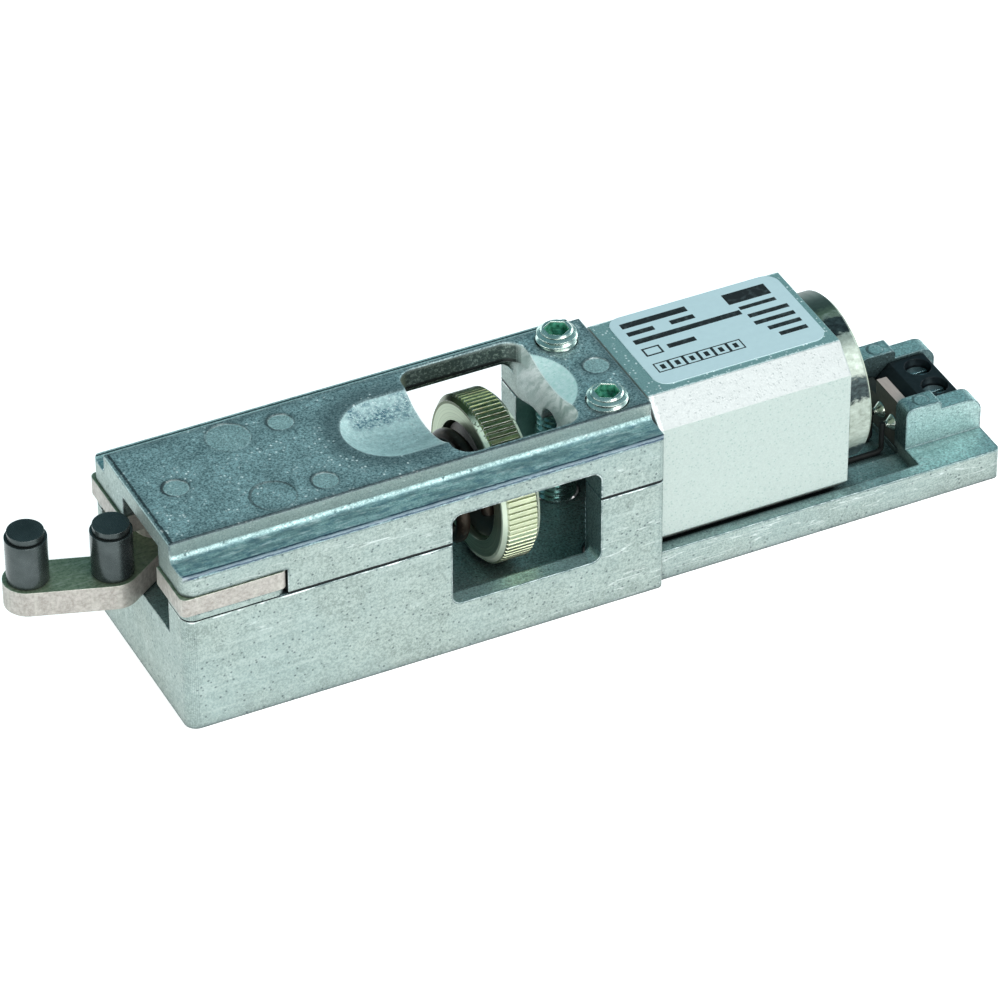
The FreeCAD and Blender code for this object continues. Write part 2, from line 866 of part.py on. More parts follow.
# Terminals
def circuit_board():
    z1 = board_z0 + board_height
    half = cheek_inner - cheek_gap
    notch = half - board_notch_width
    face_points = [
        (-half, board_z0, 0),
        (half, board_z0, 0),
        (half, z1 - board_notch_depth, 0),
        (notch, z1 - board_notch_depth, 0),
        (notch, z1, 0),
        (-half, z1, 0),
    ]
    board = section_prism(face_points, board_x0, board_x1)
    hole = pin_radius + thread_gap
    holes = [x_cylinder(hole, board_x0 - 1, board_x1 + 1, y, solder_z) for y in solder_sides]
    return board.cut(holes)


def terminal_block():
    half = block_length / 2
    corners = [
        (block_x0, block_z0, 0),
        (block_x1, block_z0, 0),
        (block_x1, block_z1, 0.3),
        (block_x0 + block_chamfer, block_z1, 0),
        (block_x0, block_z1 - block_chamfer, 0),
    ]
    block = side_prism(corners, -half, half)
    cuts = []
    well_z0 = block_z1 - well_depth - terminal_screw_head
    for y in pole_places():
        cuts.append(z_cylinder(well_radius, pole_x, y, well_z0, block_z1 + 1))
        cuts.append(z_cylinder(terminal_shank_radius + 0.1, pole_x, y, entry_z, block_z1))
        cuts.append(x_cylinder(entry_radius, block_x1 - entry_depth, block_x1 + 1, y, entry_z))
        cuts.append(clamp_space(y))
    for y in solder_sides:
        cuts.append(x_cylinder(pin_radius + thread_gap, block_x0 - 1, block_x0 + 1.5, y, solder_z))
    return clean(block.cut(cuts))


def pole_places():
    return [-pole_pitch / 2, pole_pitch / 2]


def clamp_space(y):
    half = clamp_width / 2 + 0.1
    z0 = entry_z + entry_radius - 0.3
    z1 = clamp_bottom() + clamp_thickness + 0.1
    return box(pole_x - half, pole_x + half, y - half, y + half, z0, z1)


def clamp_bottom():
    return entry_z + entry_radius + 0.05


def wire_clamps():
    half = clamp_width / 2
    z0 = clamp_bottom()
    z1 = z0 + clamp_thickness
    plates = [box(pole_x - half, pole_x + half, y - half, y + half, z0, z1) for y in pole_places()]
    return Part.makeCompound(plates)


def terminal_screws():
    screws = []
    head_z0 = block_z1 - well_depth - terminal_screw_head
    for y in pole_places():
        head = z_cylinder(terminal_screw_radius, pole_x, y, head_z0, head_z0 + terminal_screw_head)
        shank = z_cylinder(terminal_shank_radius, pole_x, y, clamp_bottom() + clamp_thickness, head_z0 + 0.2)
        slot = box(pole_x - 2, pole_x + 2, -0.25, 0.25, head_z0 + terminal_screw_head - 0.45, block_z1)
        slot.translate(V(0, y, 0))
        screws.append(clean(head.fuse(shank).cut(slot)))
    return Part.makeCompound(screws)


def terminal_pins():
    pins = []
    for y in solder_sides:
        pin = x_cylinder(pin_radius, board_x0 - solder_height - 0.3, block_x0 + 1.4, y, solder_z)
        fillet_start = V(board_x0 - solder_height, y, solder_z)
        fillet = Part.makeCone(pin_radius, solder_radius, solder_height, fillet_start, V(1, 0, 0))
        pins.append(clean(pin.fuse(fillet)))
    return Part.makeCompound(pins)


def coil_leads():
    """Two leads from the coil, down to the floor groove and up to the solder joints."""
    leads = []
    run_z = floor_thickness - lead_groove_depth + lead_radius
    rise_x = board_x0 - solder_height - 0.3 - lead_radius
    bend = 2 * lead_radius
    part_way = bend * sin(pi / 4)
    for y in solder_sides:
        down = [
            V(lead_x, y, lead_top_z(y)),
            V(lead_x, y, run_z + bend),
            V(lead_x + bend - part_way, y, run_z + bend - part_way),
            V(lead_x + bend, y, run_z),
        ]
        up = [
            V(rise_x - bend, y, run_z),
            V(rise_x - bend + part_way, y, run_z + bend - part_way),
            V(rise_x, y, run_z + bend),
            V(rise_x, y, solder_z + pin_radius),
        ]
        path = Part.Wire([
            Part.LineSegment(down[0], down[1]).toShape(),
            Part.Arc(down[1], down[2], down[3]).toShape(),
            Part.LineSegment(down[3], up[0]).toShape(),
            Part.Arc(up[0], up[1], up[2]).toShape(),
            Part.LineSegment(up[2], up[3]).toShape(),
        ])
        ring = Part.Wire(Part.makeCircle(lead_radius, down[0], V(0, 0, 1)))
        leads.append(path.makePipeShell([ring], True, True))
    return Part.makeCompound(leads)


parts = {
    "upper_casting": upper_casting,
    "lower_casting": lower_casting,
    "guide_plate": guide_plate,
    "pivot_pin": pivot_pin,
    "catch_lever": catch_lever,
    "roller_pins": roller_pins,
    "inner_roller": lambda: catch_roller(inner_roller_x, inner_roller_y),
    "outer_roller": lambda: catch_roller(outer_roller_x, outer_roller_y),
    "thrust_piece": thrust_piece,
    "compression_spring": compression_spring,
    "spring_washer": spring_washer,
    "adjusting_wheel": adjusting_wheel,
    "spindle": spindle,
    "armature_disc": armature_disc,
    "spindle_nut": spindle_nut,
    "coil_housing": coil_housing,
    "pole_core": pole_core,
    "coil_bobbin": coil_bobbin,
    "coil_winding": coil_winding,
    "rating_label": rating_label,
    "set_screw_front": lambda: set_screw(-set_screw_side, set_screw_front_rise),
    "set_screw_rear": lambda: set_screw(set_screw_side, set_screw_rear_rise),
    "assembly_screws": assembly_screws,
    "magnet_screws": magnet_screws,
    "circuit_board": circuit_board,
    "terminal_block": terminal_block,
    "terminal_screws": terminal_screws,
    "wire_clamps": wire_clamps,
    "terminal_pins": terminal_pins,
    "coil_leads": coil_leads,
}

os.makedirs("parts", exist_ok=True)
for name, make in parts.items():
    shape = make()
    shape.exportStep("parts/" + name + ".step")
    print(name, len(shape.Solids), "solids", round(shape.Volume, 2), "mm3", shape.isValid())
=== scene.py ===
import bpy
from math import cos, hypot, pi, radians, sin, sqrt
from mathutils import Matrix, Vector


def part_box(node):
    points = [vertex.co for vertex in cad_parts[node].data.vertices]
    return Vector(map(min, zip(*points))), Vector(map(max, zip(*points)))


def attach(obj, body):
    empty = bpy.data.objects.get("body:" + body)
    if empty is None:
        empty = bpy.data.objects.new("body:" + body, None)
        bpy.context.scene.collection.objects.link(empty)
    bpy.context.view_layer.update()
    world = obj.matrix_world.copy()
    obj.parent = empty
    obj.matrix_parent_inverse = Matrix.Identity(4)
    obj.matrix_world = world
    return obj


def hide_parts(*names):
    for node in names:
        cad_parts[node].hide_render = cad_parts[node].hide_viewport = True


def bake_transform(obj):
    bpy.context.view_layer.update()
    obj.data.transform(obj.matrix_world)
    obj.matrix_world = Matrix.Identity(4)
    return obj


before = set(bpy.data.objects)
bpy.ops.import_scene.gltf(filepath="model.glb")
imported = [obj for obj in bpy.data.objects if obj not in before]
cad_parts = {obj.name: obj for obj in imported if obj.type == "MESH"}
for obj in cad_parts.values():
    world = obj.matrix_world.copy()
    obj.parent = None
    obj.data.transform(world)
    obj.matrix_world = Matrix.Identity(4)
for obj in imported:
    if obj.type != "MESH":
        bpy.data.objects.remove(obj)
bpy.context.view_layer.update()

mm = 0.001
axis_height = 15.8 * mm  # of the spindle
plateau_height = 29.0 * mm
plateau_half = 11.25 * mm  # half of the plateau's width
parting_height = 18.8 * mm  # where the two castings meet
body_length = 73.2 * mm  # from the castings' left end to the magnet at x 0
screw_place = (-5.2 * mm, 7.9 * mm)
thread_pitch = 1.0 * mm
solder_joint = (43.3 * mm, 6.8 * mm)
spring_wire = 2.0 * mm
spring_radius = 7.1 * mm
spring_turns = 6.5
spring_start_angle = radians(95.0)
near_enough = 0.01 * mm  # how far a vertex may lie past the limit that picks it
merge_distance = 0.001 * mm
ejector_marks = [  # x, y and radius in mm, paleness, strength of the outline
    (-56.1, 7.45, 3.2, 0.5, 0.25),
    (-55.9, -7.45, 3.2, 0.05, 0.75),
    (-48.15, 7.45, 1.875, 0.9, 0.7),
    (-48.15, -7.45, 1.875, 0.65, 0.75),
    (-67.2, 0.0, 1.875, 0.6, 1.0),
    (-2.9, 0.0, 1.875, 0.9, 0.6),
]


# Shader nodes
trees = []  # new nodes go into the last one
vector_sockets = {"Vector", "Centre", "Half Size", "Normal"}


class Signal:
    """Output of a shader node. Arithmetic with it adds Math nodes."""

    def __init__(self, socket):
        self.socket = socket

    def __add__(self, other):
        return math("ADD", self, other)

    def __sub__(self, other):
        return math("SUBTRACT", self, other)

    def __rsub__(self, other):
        return math("SUBTRACT", other, self)

    def __mul__(self, other):
        return math("MULTIPLY", self, other)

    def __truediv__(self, other):
        return math("DIVIDE", self, other)

    def __abs__(self):
        return math("ABSOLUTE", self)


class Node:
    """Shader node. Reading a key gives that output, setting a key fills that input."""

    def __init__(self, made):
        self.made = made

    def __getitem__(self, key):
        return Signal(self.made.outputs[key])

    def __setitem__(self, key, value):
        socket = self.made.inputs[key]
        if isinstance(value, Signal):
            trees[-1].links.new(value.socket, socket)
        elif socket.type == "RGBA":
            socket.default_value = (*value, 1)
        else:
            socket.default_value = value


def put(kind, sockets=None, **settings):
    """Add a node; sockets gives each input a value, or the signal that feeds it."""
    node = Node(trees[-1].nodes.new("ShaderNode" + kind))
    for key, value in settings.items():
        setattr(node.made, key, value)
    for key, value in (sockets or {}).items():
        node[key] = value
    return node


def math(operation, a, b=0.0):
    return put("Math", {0: a, 1: b}, operation=operation)[0]


def clamped(signal):
    """The same sum, kept between 0 and 1."""
    signal.socket.node.use_clamp = True
    return signal


def most(a, b):
    return math("MAXIMUM", a, b)


def least(a, b):
    return math("MINIMUM", a, b)


def parts(vector):
    """X, Y and Z of a vector."""
    split = put("SeparateXYZ", {0: vector})
    return split["X"], split["Y"], split["Z"]


def mix(factor, a, b):
    """Colour from a at factor 0 to b at factor 1."""
    return put("Mix", {0: factor, 6: a, 7: b}, data_type="RGBA")[2]


def spread(value, low, high, to_low=0.0, to_high=1.0):
    """Stretch low..high of a value to the range to_low..to_high."""
    sockets = {"From Min": low, "From Max": high, "To Min": to_low, "To Max": to_high}
    return put("MapRange", {"Value": value, **sockets})["Result"]


def between(value, low, high, soft):
    """1 where the value lies between low and high, with soft ends."""
    return spread(value, low - soft, low) * spread(value, high + soft, high)


def noise(vector, scale, detail=3.0, rough=0.5):
    sockets = {"Vector": vector, "Scale": scale, "Detail": detail, "Roughness": rough}
    return put("TexNoise", sockets)["Fac"]


def stretched(vector, scale):
    return put("Mapping", {"Vector": vector, "Scale": scale})["Vector"]


def cellular(vector, scale):
    """Scattered cells: distance from each cell's middle, and a chance colour for each."""
    cell = put("TexVoronoi", {"Vector": vector, "Scale": scale})
    return cell["Distance"], put("SeparateColor", {0: cell["Color"]})


def surface_direction(kind="True Normal"):
    """X, Y and Z of the direction that the surface faces."""
    return parts(put("NewGeometry")[kind])


def root_sum(a, b):
    """Length of the hypotenuse over a and b."""
    return math("SQRT", a * a + b * b)


def from_axis(y, z):
    """Distance from the spindle's axis."""
    return root_sum(z - axis_height, y)


def streaked(place, scales, detail, rough):
    """Noise stretched along the axes by its three scales."""
    return noise(stretched(place, scales), 1.0, detail, rough)


def offset(vector, centre):
    """How far a place lies from a centre, along X and along Y."""
    x, y, _ = parts(put("VectorMath", {0: vector, 1: centre}, operation="SUBTRACT")[0])
    return x, y


def shader_group(inputs, outputs):
    """Turn a function into a node group; each call of it then adds that group."""

    def build(fill):
        group = bpy.data.node_groups.new(fill.__name__, "ShaderNodeTree")
        for in_out, keys in (("INPUT", inputs), ("OUTPUT", outputs)):
            for key in keys:
                kind = "NodeSocketVector" if key in vector_sockets else "NodeSocketFloat"
                group.interface.new_socket(key, in_out=in_out, socket_type=kind)
        trees.append(group)
        entry = Node(group.nodes.new("NodeGroupInput"))
        end = Node(group.nodes.new("NodeGroupOutput"))
        for key, value in fill(*[entry[key] for key in inputs]).items():
            end[key] = value
        trees.pop()
        return lambda *values: put("Group", dict(zip(inputs, values)), node_tree=group)

    return build


# Effects that several finishes share
@shader_group(["Vector", "Radius", "Corner Size"], ["Edge", "Rim", "Corner", "Bend", "Normal"])
def edge_highlight_and_shade(vector, radius, corner_size):
    """Rounded normals at the edges; masks for outer edges, the rim beside them and corners, which
    finishes use to paint highlights and shade.
    """
    bevel = put("Bevel", {"Radius": radius}, samples=8)
    flat = put("NewGeometry")["True Normal"]
    turned = put("VectorMath", {0: bevel["Normal"], 1: flat}, operation="DOT_PRODUCT")["Value"]
    hidden = put("AmbientOcclusion", {"Distance": corner_size}, samples=6)
    # Corner: occlusion mask, used to paint shade into corners and creases
    corner = spread(hidden["AO"], 0.85, 0.25)
    open_side = clamped(1.0 - corner)
    broken = spread(noise(vector, 1300.0, 2.0, 0.6), 0.35, 0.6, 0.25, 1.0)
    outer = clamped(spread(turned, 0.985, 0.88) * open_side)
    rim = clamped(spread(turned, 0.9999, 0.992) * open_side)
    rim = clamped(rim - outer)
    return {
        "Edge": outer * broken,
        "Rim": rim,
        "Corner": corner,
        "Bend": spread(turned, 0.97, 0.86),
        "Normal": bevel["Normal"],
    }


@shader_group(["Vector", "Grain Scale"], ["Tone", "Specks", "Pores", "Height"])
def cast_grain(vector, size):
    """Granular skin of a casting: mottling, bright specks that finishes paint as glints, fine grit
    and dark pores.
    """
    fine = noise(vector, size, 3.0, 0.7)
    middle = noise(vector, size * 0.35, 3.0, 0.6)
    broad = noise(vector, size * 0.07, 3.0, 0.6)
    tone = fine * 0.68 + (middle * 0.17 + broad * 0.15)
    # Specks: small cells that finishes paint as bright glints
    lit_distance, lit = cellular(vector, size * 0.6)
    chosen = math("GREATER_THAN", lit["Red"], 0.74) * spread(broad, 0.46, 0.62)
    specks = spread(lit_distance, 0.42, 0.2) * chosen
    hole_distance, dark = cellular(vector, size * 0.4)
    pores = spread(hole_distance, 0.3, 0.12) * math("GREATER_THAN", dark["Green"], 0.86)
    height = fine + (specks - pores) * 1.6
    return {"Tone": spread(tone, 0.4, 0.6), "Specks": specks, "Pores": pores, "Height": height}


@shader_group(["Vector", "Amount"], ["Lines"])
def scratches(vector, amount):
    """Sparse thin lines along one direction, broken up along their length."""
    lines = noise(vector, 1.0, 2.0, 0.5)
    thin = spread(abs(lines - 0.5), 0.012, 0.0)
    breaks = spread(noise(vector, 0.23, 2.0, 0.5), 0.52, 0.62)
    return {"Lines": clamped(thin * breaks * amount)}


@shader_group(["Vector", "Ring Scale"], ["Rings", "Radius"])
def turned_rings(vector, ring_scale):
    """Fine rings about the spindle's axis, as a lathe leaves them."""
    x, y, z = parts(vector)
    radius = from_axis(y, z)
    along = put("CombineXYZ", {"X": radius, "Y": x})[0]
    return {"Rings": noise(along, ring_scale, 2.0, 0.7), "Radius": radius}


@shader_group(["Vector", "Centre", "Half Size", "Line"], ["Ink"])
def printed_mark(vector, centre, half_size, line):
    """Ink mask of one printed rectangle; Line is the ink's width from its outline inwards."""
    off_x, off_y = offset(vector, centre)
    half_x, half_y, _ = parts(half_size)
    distance = most(abs(off_x) - half_x, abs(off_y) - half_y)
    inside = math("LESS_THAN", distance, 0.0)
    core = math("LESS_THAN", distance + line, 0.0)
    return {"Ink": clamped(inside - core)}


@shader_group(["Vector", "Centre", "Radius"], ["Disc", "Outline", "Halo", "Glint"])
def round_mark(vector, centre, radius):
    """One round ejector mark: its pale disc, dark outline thickened by painted shadow on one side,
    soft halo and a painted highlight on the far side.
    """
    off_x, off_y = offset(vector, centre)
    wobble = (noise(vector, 900.0, 2.0, 0.6) - 0.5) * (0.25 * mm)
    past = root_sum(off_x, off_y) - radius + wobble

    def leaning(x, y):
        """1 on the side of the mark that x and y point to, -1 on the other."""
        return (off_x * x + off_y * y) / radius

    thin = spread(abs(past), 0.17 * mm, 0.05 * mm) * 0.6
    beside = abs(past - 0.1 * mm)
    # Painted shadow: the outline thickens on the side turned from the light
    shadow_side = spread(beside, 0.3 * mm, 0.14 * mm) * spread(leaning(-0.985, 0.14), 0.1, 0.8)
    halo = spread(past, 1.3 * mm, 0.1 * mm) * math("GREATER_THAN", past, 0.0)
    # Painted highlight along the inside of the rim on the far side
    inner = spread(abs(past + 0.14 * mm), 0.17 * mm, 0.07 * mm)
    ragged = spread(noise(vector, 1600.0, 2.0, 0.6), 0.38, 0.52)
    glint = inner * ragged * spread(leaning(0.89, 0.46), -0.1, 0.5)
    disc = spread(past, 0.02 * mm, -0.08 * mm)
    return {"Disc": disc, "Outline": most(thin, shadow_side), "Halo": halo, "Glint": glint}


# Finishes
def new_shader(name):
    """Material with its shader node."""
    finish = bpy.data.materials.new(name)
    finish.use_nodes = True
    trees.append(finish.node_tree)
    return finish, Node(finish.node_tree.nodes["Principled BSDF"])


def join_colour(shader, colour, rough, height=None, strength=0.2, depth=0.00005, normal=None):
    """Connect colour, roughness and relief to the shader."""
    shader["Base Color"] = colour
    shader["Roughness"] = rough
    if height is not None:
        bump = put("Bump", {"Height": height, "Strength": strength, "Distance": depth})
        if normal is not None:
            bump["Normal"] = normal
        shader["Normal"] = bump["Normal"]


class CastSkin:
    """What the castings' tones read from a piece: places, directions, grain and the edges where
    highlight and shade are painted.
    """

    def __init__(self, place, edge_radius):
        self.place = place
        self.at = parts(place)
        self.facing = surface_direction()
        self.grain = cast_grain(place, 3300.0)
        self.edges = edge_highlight_and_shade(place, edge_radius, 1.4 * mm)


def cast_tone(skin, parting_side, edge_light, rim_shade):
    """Colour of bare die-cast zinc: grey green, clouded, scratched and with dark pores, with
    painted light and shade on faces, edges, corners and hollows.
    """
    place, grain, edges = skin.place, skin.grain, skin.edges
    x, y, z = skin.at
    facing_x, _, facing_z = skin.facing
    upright = spread(abs(facing_z), 0.3, 0.1)
    clouds = noise(place, 70.0, 4.0, 0.6)
    streaks = streaked(place, (60.0, 700.0, 700.0), 3.0, 0.6)
    # Painted light: lying faces lighter and more teal than upright ones
    lying_lit_tone = mix(grain["Tone"], (0.25, 0.375, 0.365), (0.61, 0.84, 0.82))
    upright_lit_tone = mix(grain["Tone"], (0.25, 0.302, 0.28), (0.41, 0.475, 0.445))
    tone = mix(upright, lying_lit_tone, upright_lit_tone)
    tone = mix(spread(clouds, 0.42, 0.68, 0.0, 0.35), tone, (0.30, 0.40, 0.40))
    tone = mix(spread(streaks, 0.52, 0.72, 0.0, 0.25), tone, (0.60, 0.67, 0.64))
    # Painted glints on the specks, stronger on lying faces
    tone = mix(grain["Specks"] * spread(upright, 0.0, 1.0, 0.6, 0.12), tone, (0.95, 1.0, 0.97))
    tone = mix(grain["Pores"] * 0.7, tone, (0.06, 0.09, 0.10))
    lines = scratches(stretched(place, (60.0, 900.0, 900.0)), 0.6)
    tone = mix(lines["Lines"], tone, (0.80, 0.84, 0.83))
    # Painted shade along the rim beside each edge
    tone = mix(edges["Rim"] * rim_shade, tone, (0.04, 0.075, 0.09))
    # Painted glints broken by painted shade along the outer edges
    edge_glints = spread(noise(place, 800.0, 3.0, 0.65), 0.44, 0.56)
    edge_tone = mix(edge_glints, (0.07, 0.11, 0.13), (0.90, 0.97, 0.96))
    tone = mix(edges["Edge"] * edge_light, tone, edge_tone)
    # Painted shade in corners
    tone = mix(edges["Corner"] * 0.8, tone, (0.03, 0.05, 0.06))
    ragged = streaked(place, (500.0, 900.0, 900.0), 3.0, 0.6)
    height = z + (ragged - 0.5) * (0.16 * mm)
    if parting_side < 0:
        # Painted highlight on the lower casting's lip just below the parting line
        parting_highlight = between(height, 18.42 * mm, 18.66 * mm, 0.05 * mm) * upright
        tone = mix(parting_highlight * spread(ragged, 0.45, 0.6, 0.0, 0.8), tone, (0.92, 0.98, 0.96))
    # Painted shadow in the parting gap
    low, high = (-0.1, 0.26) if parting_side > 0 else (-0.12, 0.1)
    gap_shadow = between(height, parting_height + low * mm, parting_height + high * mm, 0.03 * mm)
    tone = mix(gap_shadow * upright, tone, (0.003, 0.005, 0.007))
    # Painted shade on the window's side wall that faces left
    window_side_shade = spread(facing_x, -0.6, -0.9) * between(x, -10.8 * mm, -9.2 * mm, 0.2 * mm)
    window_side_shade *= spread(z, 23.7 * mm, 23.4 * mm)
    window_side_shade *= spread(y, 0.0, -2.0 * mm, 0.0, 0.8)
    tone = mix(window_side_shade, tone, mix(grain["Tone"], (0.015, 0.04, 0.045), (0.11, 0.21, 0.22)))
    # Painted shade inside the spindle's bore
    bore_shade = spread(from_axis(y, z), 5.2 * mm, 4.8 * mm, 0.0, 0.92)
    bore_shade *= between(x, -10.3 * mm, 0.0, 0.2 * mm)
    return mix(bore_shade, tone, (0.005, 0.012, 0.014))


def deep_shade(tone, distance, amount):
    """Darken what lies deep inside a hollow."""
    hidden = put("AmbientOcclusion", {"Distance": distance}, samples=6)
    deep = spread(hidden["AO"], 0.55, 0.12, 0.0, amount)
    return mix(deep, tone, (0.01, 0.016, 0.02))


def lower_cast_metal(shader, place):
    """Cast metal with lugs tinted bluer as painted light, their round marks, and painted light and
    shade on the lugs and under the nose.
    """
    skin = CastSkin(place, 0.4 * mm)
    grain, edges = skin.grain, skin.edges
    x, y, z = skin.at
    facing_x, facing_y, _ = skin.facing
    tone = cast_tone(skin, -1, 0.5, 0.9)
    lug = spread(x, 42.4 * mm, 42.8 * mm) * spread(z, 4.6 * mm, 5.2 * mm)
    # Painted light: the lugs tinted bluer, standing in for the teal fill light on them
    lug_lit_tone = mix(grain["Tone"], (0.24, 0.38, 0.38), (0.56, 0.80, 0.79))
    tone = mix(lug * 0.5, tone, lug_lit_tone)
    tarnish = spread(noise(place, 420.0, 4.0, 0.7), 0.49, 0.68, 0.0, 0.6)
    lug_top = spread(z, 11.0 * mm, 11.6 * mm) * lug
    tone = mix(lug_top * most(tarnish, 0.03), tone, (0.06, 0.10, 0.13))
    # Painted shade along the lugs' edges, broken by painted glints
    lug_edge = most(edges["Rim"], edges["Edge"]) * lug
    lug_glints = spread(noise(place, 1400.0, 3.0, 0.7), 0.54, 0.66)
    tone = mix(lug_edge * 0.6, tone, mix(lug_glints, (0.025, 0.05, 0.06), (0.75, 0.86, 0.86)))
    for mark_y in (6.9, -6.9):
        mark = round_mark(place, (46.2 * mm, mark_y * mm, 0), 1.15 * mm)
        # Painted shadow in the outline and painted glint on the far side
        tone = mix(mark["Outline"] * lug_top * 0.65, tone, (0.02, 0.03, 0.035))
        tone = mix(mark["Glint"] * lug_top * 0.5, tone, (0.95, 1.0, 0.98))
    inner_face = spread(facing_y, -0.6, -0.9) * between(y, 5.0 * mm, 6.2 * mm, 0.1 * mm)
    left_face = spread(facing_x, -0.5, -0.8) * spread(y, -5.0 * mm, -5.3 * mm)
    shadowed = most(inner_face, left_face) * lug
    tone = mix(shadowed * 0.85, tone, mix(grain["Tone"], (0.02, 0.045, 0.05), (0.10, 0.17, 0.18)))
    # Painted light: the hollow under the nose lightened and kept out of the painted deep shade
    under_nose_light = between(y, 8.5 * mm, 13.9 * mm, 0.3 * mm)
    under_nose_light *= between(x, -9.98 * mm, -2.0 * mm, 0.02 * mm)
    under_nose_light *= between(z, 4.0 * mm, 18.6 * mm, 0.1 * mm)
    tone = mix(under_nose_light * 0.7, tone, (0.40, 0.64, 0.60))
    tone = deep_shade(tone, 9 * mm, spread(under_nose_light, 0.0, 1.0, 0.9, 0.0))
    rough = spread(grain["Tone"], 0.0, 1.0, 0.55, 0.4)
    shader["Metallic"] = 0.8
    join_colour(shader, tone, rough, grain["Height"], 0.42, 0.0001, edges["Normal"])


def plateau_tone(skin, tone, on_top, sparkle, grit, uneven, wander):
    """Dark mottled plateau, tarnished toward its edges and round the scoop, with painted glints
    and a painted shadow line round its edge.
    """
    x, y, _ = skin.at
    to_side = plateau_half - abs(y)
    to_end = least(x + body_length, x * -1.0)
    to_edge = least(to_side, to_end)
    border = spread(to_edge + uneven, 1.7 * mm, 0.0, 0.0, 0.6)
    tarnish = on_top * most(border, spread(grit, 0.52, 0.75, 0.0, 0.4))
    halo = spread(root_sum(x + 35.0 * mm, y) + uneven, 11.6 * mm, 8.4 * mm, 0.0, 0.6) * on_top
    tarnish = most(tarnish, halo)
    tone = mix(on_top, tone, mix(skin.grain["Tone"], (0.14, 0.215, 0.225), (0.64, 0.80, 0.80)))
    tone = mix(tarnish, tone, (0.07, 0.105, 0.115))
    # Painted glints on the specks
    tone = mix(sparkle, tone, (0.95, 1.0, 0.98))
    # Painted shadow line along the plateau's left end and sides
    left_shadow_line = between(x + 72.7 * mm + wander, -0.1 * mm, 0.22 * mm, 0.06 * mm)
    side_shadow_line = between(to_side + wander * 0.5, 0.0, 0.2 * mm, 0.08 * mm)
    plateau_edge_shadow = most(left_shadow_line, side_shadow_line) * on_top
    return mix(plateau_edge_shadow * 0.8, tone, (0.015, 0.025, 0.03))


def window_tone(skin, tone, inside, upward, nose, grit):
    """Walls and scoops of the top window: paler, washed at the nose, smeared at the left, with
    painted highlights on the bends.
    """
    x, y, z = skin.at
    fine = spread(noise(skin.place, 1500.0, 4.0, 0.7), 0.35, 0.65)
    tone = mix(inside * 0.6, tone, mix(fine, (0.46, 0.62, 0.61), (0.86, 1.0, 0.98)))
    slanted = y + z * 0.8
    swirl = noise(skin.place, 260.0, 2.0, 0.5) * (2.2 * mm)
    flow_place = put("CombineXYZ", {"X": slanted + swirl, "Y": z * 0.25})[0]
    flow = noise(flow_place, 700.0, 4.0, 0.6)
    washed = mix(spread(flow, 0.42, 0.6), (0.38, 0.48, 0.44), (0.98, 1.0, 0.98))
    steep = (1.0 - upward) * (inside * nose)
    tone = mix(steep * 0.72, tone, washed)
    dish_tone = mix(fine, (0.62, 0.86, 0.80), (0.86, 1.0, 0.97))
    tone = mix(upward * nose * inside * 0.85, tone, dish_tone)
    smear = streaked(skin.place, (260.0, 900.0, 900.0), 4.0, 0.65)
    smeared = spread(x, -39.0 * mm, -33.0 * mm) * spread(y, 3.0 * mm, -3.0 * mm)
    smeared *= spread(smear, 0.36, 0.62, 0.2, 0.9) * clamped(inside - nose)
    tone = mix(smeared * 0.6, tone, (0.13, 0.21, 0.22))
    # Painted highlight on the scoops' bends
    scoop_edge_highlight = skin.edges["Bend"] * inside * spread(grit, 0.35, 0.5, 0.3, 0.9)
    return mix(scoop_edge_highlight, tone, (0.97, 1.0, 0.99))


def rear_wall_tone(skin, tone, wall, uneven, wander):
    """Dark wall behind the window with painted glints, the dark seam and a painted highlight line
    at its foot.
    """
    x, _, z = skin.at
    along = spread(x + uneven, -29.5 * mm, -27.2 * mm)
    # Painted glints speckling the dark wall
    wall_glints = spread(noise(skin.place, 2300.0, 3.0, 0.7), 0.5, 0.78)
    wall_tone = mix(wall_glints, (0.042, 0.072, 0.064), (0.42, 0.53, 0.47))
    wall_tone = mix(along, (0.40, 0.44, 0.33), wall_tone)
    level = z + wander * 0.4
    seam = between(level, 26.0 * mm, 26.45 * mm, 0.08 * mm)
    wall_tone = mix(seam, wall_tone, (0.002, 0.004, 0.004))
    # Painted highlight line at the wall's foot
    foot_highlight = between(level, 25.6 * mm, 25.88 * mm, 0.06 * mm)
    wall_tone = mix(foot_highlight, wall_tone, (0.92, 1.0, 0.95))
    return mix(wall * 0.92, tone, wall_tone)


def ledge_tone(skin, tone, ledge):
    """Long ledges beside the plateau: bluer, stained, wiped bright and dulled in streaks."""
    tone = mix(ledge * 0.4, tone, (0.24, 0.42, 0.45))
    for scales, detail, rough, low, high, amount, streak_tone in (
        ((420.0, 1100.0, 1100.0), 5.0, 0.7, 0.48, 0.62, 0.6, (0.06, 0.17, 0.24)),
        ((420.0, 1300.0, 1300.0), 4.0, 0.6, 0.54, 0.68, 0.6, (0.80, 0.90, 0.90)),
        ((170.0, 1000.0, 1000.0), 4.0, 0.65, 0.46, 0.6, 0.55, (0.10, 0.18, 0.20)),
    ):
        streaks = spread(streaked(skin.place, scales, detail, rough), low, high, 0.0, amount)
        tone = mix(ledge * streaks, tone, streak_tone)
    return tone


